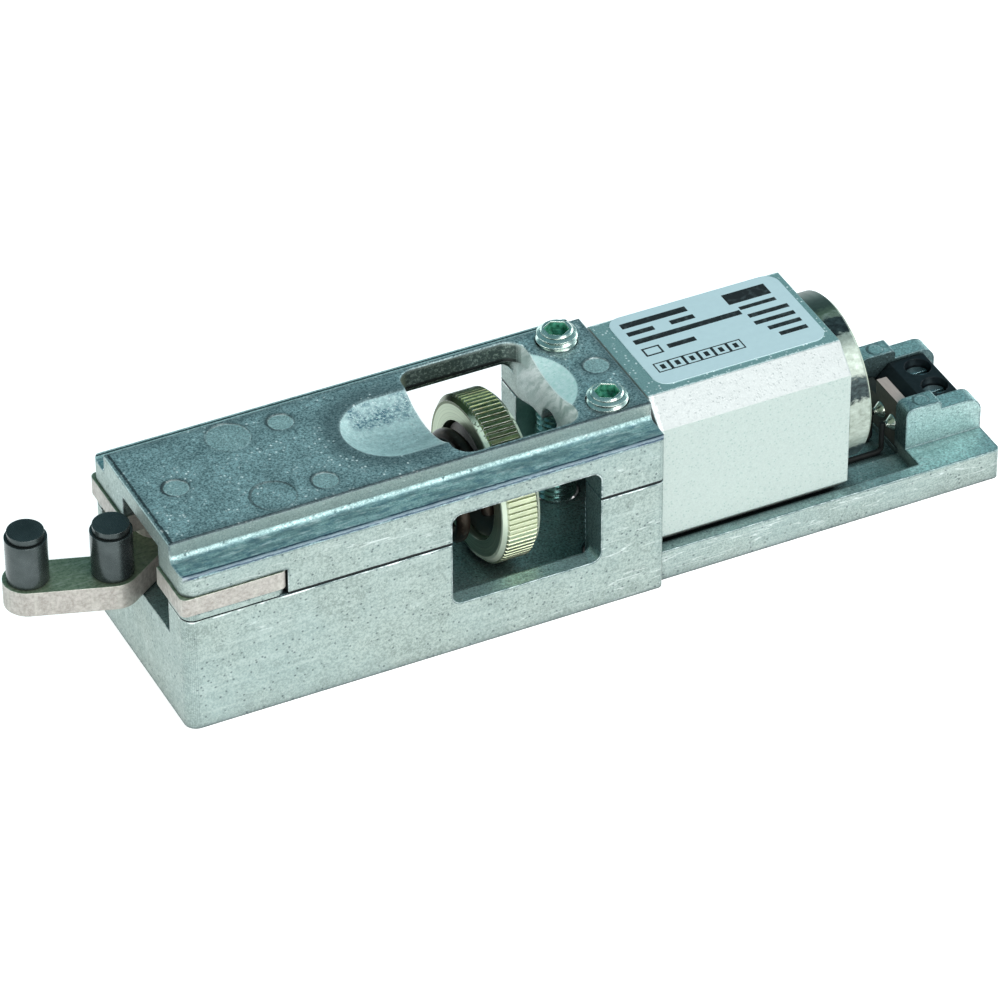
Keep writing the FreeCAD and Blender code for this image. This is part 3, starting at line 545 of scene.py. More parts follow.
def rounded_edge_tone(skin, tone, grit):
    """Painted highlight line between two broken painted shade lines along the rounded edges below
    the ledges.
    """
    _, y, z = skin.at
    side = abs(y)
    around = side - (z - 26.4 * mm) + (grit - 0.5) * (0.4 * mm)
    edge_band = spread(side, 14.9 * mm, 15.1 * mm) * between(z, 25.2 * mm, 26.7 * mm, 0.1 * mm)
    broken = spread(streaked(skin.place, (300.0, 900.0, 900.0), 3.0, 0.6), 0.36, 0.5, 0.35, 1.0)
    inner_shade_line = between(around, 15.15 * mm, 15.4 * mm, 0.08 * mm) * broken
    highlight_line = between(around, 15.5 * mm, 15.85 * mm, 0.08 * mm)
    outer_shade_line = between(around, 15.95 * mm, 16.2 * mm, 0.08 * mm) * broken
    # Painted highlight on the rounded edge, painted shade lines beside it
    tone = mix(edge_band * highlight_line * 0.6, tone, (0.46, 0.48, 0.56))
    shade_lines = most(inner_shade_line, outer_shade_line) * edge_band
    return mix(shade_lines * 0.85, tone, (0.045, 0.065, 0.11))


def rear_side_tone(skin, tone, wander):
    """Light rear side above the parting line, with two painted shade lines along it."""
    _, y, z = skin.at
    rear = spread(y, 14.2 * mm, 14.5 * mm) * spread(z, 25.8 * mm, 26.1 * mm)
    rear_level = y + wander * 0.3
    # Painted shade lines along the rear side
    rear_shade_line = between(rear_level, 15.0 * mm, 15.22 * mm, 0.08 * mm)
    dark = most(rear_shade_line, spread(rear_level, 15.6 * mm, 15.75 * mm))
    rear_tone = mix(skin.grain["Tone"], (0.36, 0.50, 0.48), (0.85, 1.0, 0.97))
    rear_tone = mix(dark, rear_tone, (0.03, 0.05, 0.055))
    return mix(rear * 0.85, tone, rear_tone)


def ejector_tone(skin, tone, on_top):
    """The round ejector marks on the plateau, with painted shadow in their outlines and painted
    glints.
    """
    for mark_x, mark_y, radius, pale, outline in ejector_marks:
        mark = round_mark(skin.place, (mark_x * mm, mark_y * mm, 0), radius * mm)
        tone = mix(mark["Halo"] * on_top * (0.5 * pale), tone, (0.06, 0.09, 0.10))
        disc_tone = mix(skin.grain["Tone"], (0.38, 0.50, 0.485), (0.80, 0.95, 0.92))
        tone = mix(mark["Disc"] * on_top * pale, tone, disc_tone)
        # Painted shadow in the outline and painted glint on the far side
        tone = mix(mark["Outline"] * on_top * (0.85 * outline), tone, (0.02, 0.03, 0.035))
        tone = mix(mark["Glint"] * on_top * pale, tone, (0.95, 1.0, 0.98))
    return tone


def blue_patch_tone(skin, tone, inside, uneven):
    """Dark blue flecks and frost on the rear half of the left scoop."""
    x, y, _ = skin.at
    patch_x = between(x + uneven, -38.5 * mm, -30.0 * mm, 1.5 * mm)
    patch_y = between(y + uneven, 3.0 * mm, 7.6 * mm, 1.0 * mm)
    patch = patch_x * patch_y * inside
    flecks = spread(streaked(skin.place, (1900.0, 2600.0, 2600.0), 5.0, 0.8), 0.41, 0.55)
    flecks *= spread(noise(skin.place, 330.0, 3.0, 0.6), 0.36, 0.58, 0.25, 0.95)
    tone = mix(patch * flecks, tone, (0.02, 0.11, 0.17))
    frost = spread(noise(skin.place, 3100.0, 3.0, 0.7), 0.6, 0.68)
    return mix(patch * frost, tone, (0.97, 1.0, 1.0))


def upper_cast_metal(shader, place):
    """Cast metal with a darker plateau, its round marks and the paler scoops, with painted light
    and shade on glints, edges and hollows.
    """
    skin = CastSkin(place, 0.55 * mm)
    x, y, z = skin.at
    _, facing_y, facing_z = skin.facing
    side = abs(y)
    on_top = spread(z, plateau_height, plateau_height + 0.12 * mm)
    upward = spread(facing_z, 0.3, 0.6)
    nose = spread(x, -12.6 * mm, -11.4 * mm)
    inside = spread(side, 11.0 * mm, 10.8 * mm)
    inside *= spread(z, plateau_height + 0.12 * mm, plateau_height + 0.02 * mm)
    inside *= spread(z, 20.0 * mm, 26.0 * mm)
    inside *= most(upward, nose)
    wall = spread(facing_y, -0.3, -0.7) * between(y, 9.0 * mm, 13.4 * mm, 0.1 * mm)
    wall *= spread(z, 29.1 * mm, 28.6 * mm)
    ledge = spread(side, 11.4 * mm, 11.8 * mm) * between(z, 26.2 * mm, 27.6 * mm, 0.1 * mm)
    grit = noise(place, 700.0, 4.0, 0.7)
    uneven = (grit - 0.5) * (1.6 * mm)
    wander = (noise(place, 1300.0, 3.0, 0.7) - 0.5) * (0.5 * mm)
    # Specks on the plateau, painted as glints
    sparkle = on_top * skin.grain["Specks"]
    tone = cast_tone(skin, 1, 0.8, 0.6)
    tone = plateau_tone(skin, tone, on_top, sparkle, grit, uneven, wander)
    tone = window_tone(skin, tone, inside, upward, nose, grit)
    tone = rear_wall_tone(skin, tone, wall, uneven, wander)
    tone = ledge_tone(skin, tone, ledge)
    tone = rounded_edge_tone(skin, tone, grit)
    tone = rear_side_tone(skin, tone, wander)
    tone = ejector_tone(skin, tone, on_top)
    tone = blue_patch_tone(skin, tone, inside, uneven)
    tone = deep_shade(tone, 9 * mm, spread(wall, 0.0, 1.0, 0.9, 0.4))
    shader["Metallic"] = spread(most(inside, sparkle), 0.0, 1.0, 0.8, 0.3)
    rough = most(spread(skin.grain["Tone"], 0.0, 1.0, 0.55, 0.4), ledge * 0.66)
    join_colour(shader, tone, rough, skin.grain["Height"], 0.42, 0.0001, skin.edges["Normal"])


def housing_paint(shader, place):
    """Hammered silver green paint: small raised dots on a fine skin, with painted shade in the
    dots of upright faces, a top toned darker as painted shade, and painted highlights.
    """
    grain = cast_grain(place, 3000.0)
    edges = edge_highlight_and_shade(place, 0.3 * mm, 0.8 * mm)
    dot_distance, lit = cellular(place, 2600.0)
    raised = spread(dot_distance, 0.42, 0.1) * spread(lit["Red"], 0.3, 0.9)
    height = raised + grain["Height"] * 0.35
    x, y, z = parts(place)
    _, _, facing_z = surface_direction()
    upward = spread(facing_z, 0.85, 0.95)
    upright = spread(abs(facing_z), 0.3, 0.1)
    skin = spread(noise(place, 4200.0, 2.0, 0.6), 0.35, 0.65)
    tone = mix(skin, (0.44, 0.495, 0.465), (0.49, 0.55, 0.515))
    pit_distance, chance = cellular(place, 1900.0)
    # Painted shade in the hammered dots of upright faces
    dimple_shade = spread(pit_distance, 0.34, 0.18) * spread(chance["Green"], 0.2, 0.6)
    tone = mix(dimple_shade * upright * 0.8, tone, (0.17, 0.30, 0.28))
    slanting = between(facing_z, 0.6, 0.8, 0.1)
    tone = mix(slanting, tone, mix(skin, (0.455, 0.465, 0.455), (0.495, 0.505, 0.495)))
    # Painted shade: the top toned darker teal, with painted highlights on its bumps
    top_tone = mix(skin, (0.215, 0.355, 0.35), (0.30, 0.47, 0.46))
    bump_highlights = spread(pit_distance, 0.36, 0.2) * spread(chance["Red"], 0.4, 0.6)
    top_tone = mix(bump_highlights, top_tone, (0.95, 1.0, 0.98))
    tone = mix(upward, tone, top_tone)
    # Painted highlights on the edges
    tone = mix(edges["Edge"] * 0.3, tone, (0.7, 0.8, 0.78))
    hairs = streaked(place, (2600.0, 260.0, 260.0), 2.0, 0.7)
    to_side = 9.3 * mm - abs(y)
    fringe = spread(to_side - hairs * (0.75 * mm), -0.1 * mm, -0.3 * mm)
    tone = mix(fringe * upward, tone, (0.93, 1.0, 0.98))
    jagged = streaked(place, (200.0, 2600.0, 2600.0), 2.0, 0.7)
    to_end = x - jagged * (1.3 * mm)
    cut = spread(to_end, 0.6 * mm, 0.4 * mm)
    cut *= between(z, 24.6 * mm, 28.72 * mm, 0.05 * mm)
    tone = mix(cut * 0.4, tone, (0.96, 1.0, 0.99))
    shader["Metallic"] = 0.3
    rough = spread(grain["Tone"], 0.0, 1.0, 0.42, 0.34)
    join_colour(shader, tone, rough, height, 0.35, 0.00008, edges["Normal"])


def label_film(shader, place):
    """Printed film with plain bars and boxes where the words would be."""
    marks = [  # x, y, half sizes and line width in mm; line width 0 fills the box
        (9.7, 7.0, 5.2, 0.62, 0),
        (6.6, 4.9, 2.1, 0.5, 0),
        (13.2, 4.9, 1.9, 0.5, 0),
        (13.0, 2.8, 8.5, 0.55, 0),
        (6.0, 0.0, 1.4, 1.0, 0.3),
        (10.6, 0.0, 2.2, 0.5, 0),
        (24.2, 6.3, 3.4, 1.3, 0),
        (24.6, 3.6, 2.9, 0.4, 0),
        (25.2, 1.4, 3.2, 0.45, 0),
        (25.2, -0.5, 3.2, 0.45, 0),
        (25.8, -2.4, 2.6, 0.45, 0),
        (26.2, -4.3, 2.2, 0.45, 0),
    ]
    marks += [(5.6 + 2.3 * i, -4.0, 1.15, 1.15, 0.22) for i in range(6)]
    marks += [(5.6 + 2.3 * i, -4.0, 0.35, 0.55, 0) for i in range(6)]
    ink = None
    for x, y, half_x, half_y, line in marks:
        width = line * mm if line else 1.0
        half_size = (half_x * mm, half_y * mm, 0)
        mark = printed_mark(place, (x * mm, y * mm, 0), half_size, width)["Ink"]
        ink = mark if ink is None else most(ink, mark)
    paper = mix(noise(place, 900.0, 3.0, 0.6), (0.60, 0.725, 0.76), (0.68, 0.815, 0.845))
    wear_and_sheen = spread(noise(place, 1100.0, 2.0, 0.6), 0.3, 0.5, 0.94, 1.0)
    tone = mix(ink * wear_and_sheen, paper, (0.003, 0.004, 0.005))
    rough = spread(ink, 0.0, 1.0, 0.4, 0.6)
    join_colour(shader, tone, rough)


def yellow_zinc(shader, place):
    """Olive plate: dark flats lighter towards the bottom as painted sheen, bright edges and
    grooves as painted highlights, pale turned face.
    """
    rings = turned_rings(place, 5200.0)
    edges = edge_highlight_and_shade(place, 0.1 * mm, 0.35 * mm)
    clouds = noise(place, 300.0, 4.0, 0.65)
    grit = streaked(place, (700.0, 2200.0, 2200.0), 3.0, 0.7)
    rolled = mix(spread(grit, 0.35, 0.65), (0.07, 0.095, 0.035), (0.21, 0.26, 0.115))
    rolled = mix(spread(clouds, 0.5, 0.7, 0.0, 0.6), rolled, (0.22, 0.17, 0.12))
    turned = mix(spread(rings["Rings"], 0.3, 0.7), (0.34, 0.40, 0.28), (0.56, 0.62, 0.47))
    _, y, z = parts(place)
    # Painted sheen: the flats lighter towards the bottom
    wear_and_sheen = spread(z + clouds * (3 * mm), 26.5 * mm, 21.5 * mm) * 0.85
    rolled = mix(wear_and_sheen, rolled, mix(grit, (0.36, 0.40, 0.24), (0.74, 0.78, 0.56)))
    on_rim = spread(rings["Radius"], 11.15 * mm, 11.25 * mm)
    tone = mix(on_rim, turned, rolled)
    chamfer = between(rings["Radius"], 11.2 * mm, 12.1 * mm, 0.06 * mm)
    flecks = spread(noise(place, 1900.0, 2.0, 0.6), 0.5, 0.62)
    tone = mix(chamfer * 0.8, tone, (0.05, 0.07, 0.025))
    front_half = spread(y, 0.0, -3.0 * mm)
    # Painted highlight on the front chamfer's lower part, where metallic is lowered too
    chamfer_highlight = most(flecks * 0.25, spread(z + flecks * (1.5 * mm), 28.4 * mm, 27.4 * mm))
    chamfer_highlight = chamfer * chamfer_highlight * front_half
    tone = mix(chamfer_highlight, tone, (0.85, 0.92, 0.74))
    # Painted highlights on edges, painted shade in corners
    tone = mix(edges["Edge"] * spread(on_rim, 0.0, 1.0, 0.4, 1.0), tone, (1.0, 1.0, 0.98))
    tone = mix(edges["Corner"] * 0.5, tone, (0.05, 0.06, 0.03))
    shader["Metallic"] = spread(chamfer_highlight, 0.0, 1.0, 0.9, 0.35)
    rough = spread(rings["Rings"], 0.2, 0.8, 0.26, 0.4)
    join_colour(shader, tone, rough, rings["Rings"], 0.12, 0.00003, edges["Normal"])


def bright_metal(shader, place, dark, light, metallic, rough_low, rough_high, ring_scale=3800.0):
    """Plated or turned metal with fine lathe rings, painted highlights on its edges and painted
    shade in its corners.
    """
    rings = turned_rings(place, ring_scale)
    edges = edge_highlight_and_shade(place, 0.15 * mm, 0.6 * mm)
    clouds = noise(place, 180.0, 3.0, 0.6)
    tone = mix(spread(clouds, 0.3, 0.7), dark, light)
    lines = scratches(stretched(place, (500.0, 90.0, 700.0)), 0.35)
    tone = mix(lines["Lines"], tone, light)
    brighter = [min(1.0, c * 1.25) for c in light]
    # Painted highlights on edges, painted shade in corners
    tone = mix(edges["Edge"] * 0.6, tone, brighter)
    tone = mix(edges["Corner"] * 0.5, tone, [c * 0.2 for c in dark])
    shader["Metallic"] = metallic
    rough = spread(rings["Rings"], 0.25, 0.75, rough_low, rough_high)
    join_colour(shader, tone, rough, rings["Rings"], 0.1, 0.00002, edges["Normal"])


def nickel_with_painted_reflections(shader, place):
    """Bright plate whose rim has painted reflections: dark and light bands across it, olive at the
    top.
    """
    rings = turned_rings(place, 3800.0)
    edges = edge_highlight_and_shade(place, 0.15 * mm, 0.6 * mm)
    _, y, z = parts(place)
    # Painted reflections: bands round the rim, set by the angle about the axis
    angle = math("ARCTAN2", y * -1.0, z - axis_height)
    grit = streaked(place, (900.0, 1500.0, 1500.0), 4.0, 0.7)
    angle = angle + (grit - 0.5) * 0.22
    pale = mix(spread(grit, 0.3, 0.7), (0.26, 0.29, 0.245), (0.48, 0.53, 0.47))
    olive_reflection = mix(grit, (0.045, 0.065, 0.055), (0.10, 0.135, 0.11))
    top_tone = mix(spread(angle, 0.02, 0.2), olive_reflection, (0.20, 0.26, 0.17))
    tone = mix(spread(angle, 0.24, 0.12), pale, top_tone)
    dark = mix(spread(grit, 0.4, 0.75), (0.003, 0.010, 0.016), (0.05, 0.08, 0.085))
    for start, stop in ((0.24, 0.45), (1.04, 1.26), (2.02, 3.2)):
        tone = mix(between(angle, start, stop, 0.05) * 0.93, tone, dark)
    on_rim = spread(rings["Radius"], 12.0 * mm, 12.1 * mm)
    clouds = noise(place, 180.0, 3.0, 0.6)
    face = mix(spread(clouds, 0.3, 0.7), (0.34, 0.38, 0.28), (0.56, 0.60, 0.48))
    tone = mix(on_rim, face, tone)
    # Painted highlights on edges, painted shade in corners
    tone = mix(edges["Edge"] * 0.7, tone, (0.72, 0.80, 0.66))
    tone = mix(edges["Corner"] * 0.5, tone, (0.05, 0.06, 0.05))
    shader["Metallic"] = 0.6
    shader["Specular IOR Level"] = 0.2
    rough = spread(rings["Rings"], 0.25, 0.75, 0.32, 0.42)
    join_colour(shader, tone, rough, rings["Rings"], 0.1, 0.00002, edges["Normal"])


def screw_zinc(shader, place):
    """Zinc plate, with a green passivated tint inside the sockets, painted highlights and shade,
    and its hidden part painted dark in front and lighter at the rear.
    """
    edges = edge_highlight_and_shade(place, 0.1 * mm, 0.5 * mm)
    clouds = noise(place, 500.0, 3.0, 0.6)
    tone = mix(spread(clouds, 0.3, 0.7), (0.50, 0.60, 0.54), (0.74, 0.82, 0.76))
    x, y, z = parts(place)
    reach = root_sum(x - screw_place[0], abs(y) - screw_place[1])
    near = math("LESS_THAN", reach, 1.93 * mm)
    screw_top = spread(y, -1.0 * mm, 1.0 * mm, 30.8 * mm, 31.3 * mm)
    below = near * spread(screw_top - z, 0.08 * mm, 0.2 * mm)
    below *= spread(z, 20.0 * mm, 21.0 * mm)
    film = spread(noise(place, 1500.0, 2.0, 0.6), 0.35, 0.6)
    green = mix(film, (0.02, 0.13, 0.075), (0.09, 0.38, 0.25))
    # Painted highlights on edges, painted shade in corners
    tone = mix(edges["Edge"] * 0.6, tone, (0.95, 1.0, 0.95))
    tone = mix(edges["Corner"] * 0.6, tone, (0.05, 0.10, 0.08))
    tone = mix(below, tone, green)
    # Painted shade on the hidden part in front, painted light on it at the rear
    hidden_shade_and_light = spread(reach, 3.6 * mm, 3.4 * mm) * spread(z, 28.6 * mm, 27.6 * mm)
    rear = spread(y, -1.0 * mm, 1.0 * mm)
    tone = mix(hidden_shade_and_light * 0.9, tone, mix(rear, (0.03, 0.07, 0.075), (0.30, 0.52, 0.50)))
    tone = deep_shade(tone, 14 * mm, clamped(spread(rear, 0.0, 1.0, 0.95, 0.3) - near))
    shader["Metallic"] = spread(below, 0.0, 1.0, 0.95, 0.2)
    rough = spread(clouds, 0.2, 0.8, 0.2, 0.32)
    join_colour(shader, tone, rough, clouds, 0.1, 0.00003, edges["Normal"])


def threaded_steel(shader, place):
    """Turned steel with the spindle's thread as relief, its roots painted dark and its crests
    light as painted shade.
    """
    x, y, z = parts(place)
    angle = math("ARCTAN2", y, z - axis_height)
    turns = x * (1 / thread_pitch) - angle * (1 / (2 * pi))
    ridge = math("PINGPONG", turns, 0.5)
    # Painted shade in the thread's roots, painted light on its crests
    tone = mix(spread(ridge, 0.0, 0.5), (0.16, 0.17, 0.17), (0.58, 0.60, 0.58))
    tone = mix(spread(noise(place, 300.0, 3.0, 0.6), 0.5, 0.7, 0.0, 0.4), tone, (0.22, 0.18, 0.13))
    shader["Metallic"] = 0.85
    rough = spread(ridge, 0.0, 0.5, 0.5, 0.3)
    join_colour(shader, tone, rough, ridge, 0.8, 0.0004)


def oiled_spring(shader, place):
    """Dark oiled steel."""
    clouds = noise(place, 350.0, 4.0, 0.6)
    tone = mix(spread(clouds, 0.3, 0.7), (0.010, 0.008, 0.007), (0.055, 0.038, 0.028))
    dust = spread(noise(place, 1600.0, 2.0, 0.5), 0.6, 0.75, 0.0, 0.35)
    tone = mix(dust, tone, (0.16, 0.12, 0.09))
    shader["Metallic"] = 0.6
    shader["Specular IOR Level"] = 0.25
    rough = spread(clouds, 0.2, 0.8, 0.26, 0.4)
    join_colour(shader, tone, rough, clouds, 0.2, 0.00004)


def plated_plate(shader, place):
    """Zinc plated sheet, olive on its rolled faces and paler on its cut ones, with painted
    highlights on its edges and painted shade in its corners.
    """
    edges = edge_highlight_and_shade(place, 0.25 * mm, 0.8 * mm)
    grain = cast_grain(place, 1800.0)
    _, _, facing_z = surface_direction("Normal")
    rolled = mix(grain["Tone"], (0.14, 0.19, 0.12), (0.27, 0.33, 0.22))
    cut = mix(grain["Tone"], (0.34, 0.305, 0.275), (0.50, 0.455, 0.42))
    tone = mix(spread(abs(facing_z), 0.4, 0.8), cut, rolled)
    strokes = streaked(place, (500.0, 2500.0, 90.0), 2.0, 0.6)
    tone = mix(spread(strokes, 0.5, 0.8, 0.0, 0.3), tone, (0.75, 0.74, 0.66))
    # Painted highlights on edges, painted shade in corners
    tone = mix(edges["Edge"] * 0.5, tone, (0.72, 0.74, 0.64))
    tone = mix(edges["Corner"] * 0.6, tone, (0.05, 0.06, 0.04))
    shader["Metallic"] = 0.5
    rough = spread(grain["Tone"], 0.0, 1.0, 0.5, 0.38)
    join_colour(shader, tone, rough, grain["Height"], 0.2, 0.00004, edges["Normal"])


def moulded(shader, place, dark, light, gloss, scale=1500.0, bump=0.2):
    """Moulded plastic, laminate or insulation with a fine skin and painted highlights on its
    edges.
    """
    shader["Specular IOR Level"] = 0.3
    edges = edge_highlight_and_shade(place, 0.12 * mm, 0.6 * mm)
    skin = noise(place, scale, 4.0, 0.6)
    tone = mix(spread(skin, 0.3, 0.7), dark, light)
    pale = [c * 1.8 + 0.03 for c in light]
    # Painted highlights on the edges
    tone = mix(edges["Edge"] * 0.35, tone, pale)
    rough = spread(skin, 0.2, 0.8, gloss - 0.05, gloss + 0.08)
    join_colour(shader, tone, rough, skin, bump, 0.00003, edges["Normal"])


def board_laminate(shader, place):
    """Glass fibre board: green lacquered faces kept near black as painted shade, beige cut edge
    with fine layers, darker below its top edge as painted shade.
    """
    _, _, z = parts(place)
    facing_x, _, _ = surface_direction()
    fibres = streaked(place, (9000.0, 700.0, 700.0), 3.0, 0.6)
    cut = mix(fibres, (0.34, 0.25, 0.22), (0.62, 0.50, 0.46))
    weave = streaked(place, (700.0, 3000.0, 3000.0), 3.0, 0.6)
    # Painted shade: the faces kept near black
    face = mix(weave, (0.035, 0.035, 0.028), (0.11, 0.10, 0.08))
    # Painted shade on the cut edge below its top
    cut = mix(spread(z, 8.6 * mm, 9.0 * mm), (0.03, 0.03, 0.025), cut)
    tone = mix(spread(abs(facing_x), 0.5, 0.9), cut, face)
    tone = deep_shade(tone, 7 * mm, 0.95)
    rough = spread(fibres, 0.2, 0.8, 0.45, 0.6)
    join_colour(shader, tone, rough, fibres, 0.25, 0.00004)


def wound_copper(shader, place):
    """Enamelled wire, wound in fine turns along the coil, with painted shade between the turns."""
    x, _, _ = parts(place)
    turns = math("PINGPONG", x * (1 / (0.3 * mm)), 0.5)
    # Painted shade between the turns, painted light on their crests
    tone = mix(spread(turns, 0.0, 0.5), (0.18, 0.07, 0.035), (0.66, 0.32, 0.16))
    tone = mix(spread(noise(place, 400.0, 3.0, 0.6), 0.5, 0.7, 0.0, 0.3), tone, (0.75, 0.45, 0.25))
    shader["Metallic"] = 0.8
    rough = spread(turns, 0.0, 0.5, 0.45, 0.28)
    join_colour(shader, tone, rough, turns, 0.6, 0.00015)


# What each finish is made by, what that is given, and the pieces that wear it
finish_table = {
    "upper_cast_metal": (upper_cast_metal, (), ["upper_casting"]),
    "lower_cast_metal": (lower_cast_metal, (), ["lower_casting"]),
    "housing_paint": (housing_paint, (), ["coil_housing"]),
    "label_film": (label_film, (), ["rating_label"]),
    "yellow_zinc": (yellow_zinc, (), ["adjusting_wheel"]),
    "nickel_with_painted_reflections": (nickel_with_painted_reflections, (), ["armature_disc"]),
    "turned_steel": (
        bright_metal,
        ((0.36, 0.38, 0.38), (0.58, 0.60, 0.60), 0.9, 0.3, 0.42),
        ["pole_core", "pivot_pin", "thrust_piece", "wire_clamps"],
    ),
    "blackened_steel": (
        bright_metal,
        ((0.035, 0.045, 0.045), (0.09, 0.105, 0.105), 0.7, 0.2, 0.32),
        ["inner_roller", "outer_roller", "roller_pins"],
    ),
    "tin_solder": (
        bright_metal,
        ((0.26, 0.28, 0.24), (0.60, 0.64, 0.56), 0.95, 0.12, 0.24),
        ["terminal_pins"],
    ),
    "screw_zinc": (
        screw_zinc,
        (),
        ["set_screw_front", "set_screw_rear", "assembly_screws", "magnet_screws", "spindle_nut"],
    ),
    "terminal_zinc": (
        bright_metal,
        ((0.16, 0.27, 0.29), (0.55, 0.74, 0.77), 0.8, 0.16, 0.26, 700.0),
        ["terminal_screws"],
    ),
    "threaded_steel": (threaded_steel, (), ["spindle"]),
    "oiled_spring": (oiled_spring, (), ["compression_spring", "spring_washer"]),
    "plated_plate": (plated_plate, (), ["guide_plate", "catch_lever"]),
    "black_plastic": (
        moulded,
        ((0.003, 0.005, 0.006), (0.010, 0.014, 0.018), 0.36),
        ["terminal_block"],
    ),
    "bobbin_plastic": (moulded, ((0.03, 0.03, 0.03), (0.08, 0.08, 0.08), 0.45), ["coil_bobbin"]),
    "lead_insulation": (
        moulded,
        ((0.003, 0.004, 0.004), (0.010, 0.012, 0.012), 0.6),
        ["coil_leads"],
    ),
    "board_laminate": (board_laminate, (), ["circuit_board"]),
    "wound_copper": (wound_copper, (), ["coil_winding"]),
}
finishes = {}
for finish_name, (fill, details, pieces) in finish_table.items():
    finish, shader = new_shader(finish_name)
    fill(shader, put("TexCoord")["Object"], *details)
    finishes[finish_name] = finish
    for piece in pieces:
        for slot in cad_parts[piece].material_slots:
            slot.material = finish


# Modelling
def object_mode():
    """Go into object mode with nothing selected."""
    if bpy.context.object is not None and bpy.context.object.mode != "OBJECT":
        bpy.ops.object.mode_set(mode="OBJECT")
    bpy.ops.object.select_all(action="DESELECT")


def take(piece):
    """Go into object mode with only this piece selected."""
    object_mode()
    piece.select_set(True)
    bpy.context.view_layer.objects.active = piece


def edit(piece):
    """Go into edit mode on this piece with nothing selected."""
    take(piece)
    bpy.ops.object.mode_set(mode="EDIT")
    bpy.ops.mesh.select_mode(type="VERT")
    bpy.ops.mesh.select_all(action="DESELECT")


def pick(piece, wanted):
    """Select the vertices whose place passes the test, and what they bound."""
    bpy.ops.object.mode_set(mode="OBJECT")
    vertices = piece.data.vertices
    for vertex in vertices:
        vertex.select = wanted(vertex.co)
    for bound in (*piece.data.edges, *piece.data.polygons):
        bound.select = all(vertices[i].select for i in bound.vertices)
    bpy.ops.object.mode_set(mode="EDIT")


def named(name):
    """The piece just added, with its name."""
    bpy.context.object.name = name
    return bpy.context.object


def pull(x, y, z):
    """Extrude what is selected."""
    bpy.ops.mesh.extrude_region_move(TRANSFORM_OT_translate={"value": (x, y, z)})


def widen(x, y, z):
    """Scale what is selected about the piece's middle."""
    bpy.ops.transform.resize(value=(x, y, z), center_override=(0, 0, 0))


def apply_place():
    bpy.ops.object.transform_apply(location=True, rotation=True, scale=True)


def sweep(piece, steps, **settings):
    """Sweep a profile about Z with a screw modifier."""
    take(piece)
    screw = piece.modifiers.new("sweep", "SCREW")
    screw.axis = "Z"
    screw.steps = screw.render_steps = steps
    for key, value in settings.items():
        setattr(screw, key, value)
    bpy.ops.object.modifier_apply(modifier=screw.name)


def settle(piece, location, smooth_below, finish):
    """Move a shaped piece to its place, its object staying at the origin, and finish it."""
    take(piece)
    piece.location = location
    apply_place()
    bpy.ops.object.mode_set(mode="EDIT")
    bpy.ops.mesh.select_all(action="SELECT")
    bpy.ops.mesh.remove_doubles(threshold=merge_distance)
    bpy.ops.mesh.normals_make_consistent(inside=False)
    take(piece)
    bpy.ops.object.shade_smooth_by_angle(angle=radians(smooth_below))
    piece.data.materials.append(finishes[finish])


def thread_turns(name, crest, root, pitch, turns):
    """Threaded band about Z from height 0: one profile, swept by a screw modifier."""
    object_mode()
    bpy.ops.mesh.primitive_plane_add(size=2 * mm, location=(0, 0, 0))
    piece = named(name)
    edit(piece)
    pick(piece, lambda co: not (co.x > 0 and co.y > 0))
    bpy.ops.mesh.delete(type="VERT")
    bpy.ops.mesh.select_all(action="SELECT")
    bpy.ops.transform.translate(value=(root - 1 * mm, -1 * mm, 0))
    depth = crest - root
    for out, share in ((depth, 0.42), (0, 0.16), (-depth, 0.42)):  # flank, crest, flank
        pull(out, 0, share * pitch)
    sweep(
        piece,
        40,
        screw_offset=pitch,
        iterations=turns,
        use_merge_vertices=True,
        merge_threshold=merge_distance,
    )
    return piece


def socket_end(name, radius, chamfer, skirt, across_flats, socket_depth):
    """Chamfered end of a set screw with a hexagon socket; its top is at height 0."""
    corner = across_flats / sqrt(3)
    top_radius = radius - chamfer
    object_mode()
    bpy.ops.mesh.primitive_circle_add(vertices=6, radius=corner, location=(0, 0, 0))
    piece = named(name)
    edit(piece)
    bpy.ops.mesh.select_all(action="SELECT")
    bpy.ops.mesh.subdivide(number_cuts=7)
    bpy.ops.mesh.select_all(action="DESELECT")
    bpy.ops.mesh.primitive_circle_add(vertices=48, radius=top_radius, location=(0, 0, 0))
    bpy.ops.mesh.select_all(action="SELECT")
    bpy.ops.mesh.bridge_edge_loops()
    pick(piece, lambda co: hypot(co.x, co.y) < corner + near_enough)
    pull(0, 0, -0.25 * mm)
    narrow = (across_flats - 0.2 * mm) / across_flats
    widen(narrow, narrow, 1)
    pull(0, 0, -socket_depth)
    bpy.ops.mesh.edge_face_add()
    bpy.ops.mesh.inset(thickness=0.5 * mm, depth=-0.3 * mm)
    pick(piece, lambda co: hypot(co.x, co.y) > top_radius - near_enough and co.z > -near_enough)
    at = top_radius
    # Share of the chamfer's width reached at each step, and how far the step drops
    for share, drop in ((0.35, 0.3), (0.18, 0.12), (0.5, 0.1), (1.0, 0.3)):
        pull(0, 0, -chamfer * drop)
        reached = radius - chamfer * (1 - share)
        widen(reached / at, reached / at, 1)
        at = reached
    pull(0, 0, -skirt)
    pull(0, 0, -0.1 * mm)
    slim = (radius - 0.45 * mm) / radius
    widen(slim, slim, 1)
    object_mode()
    return piece


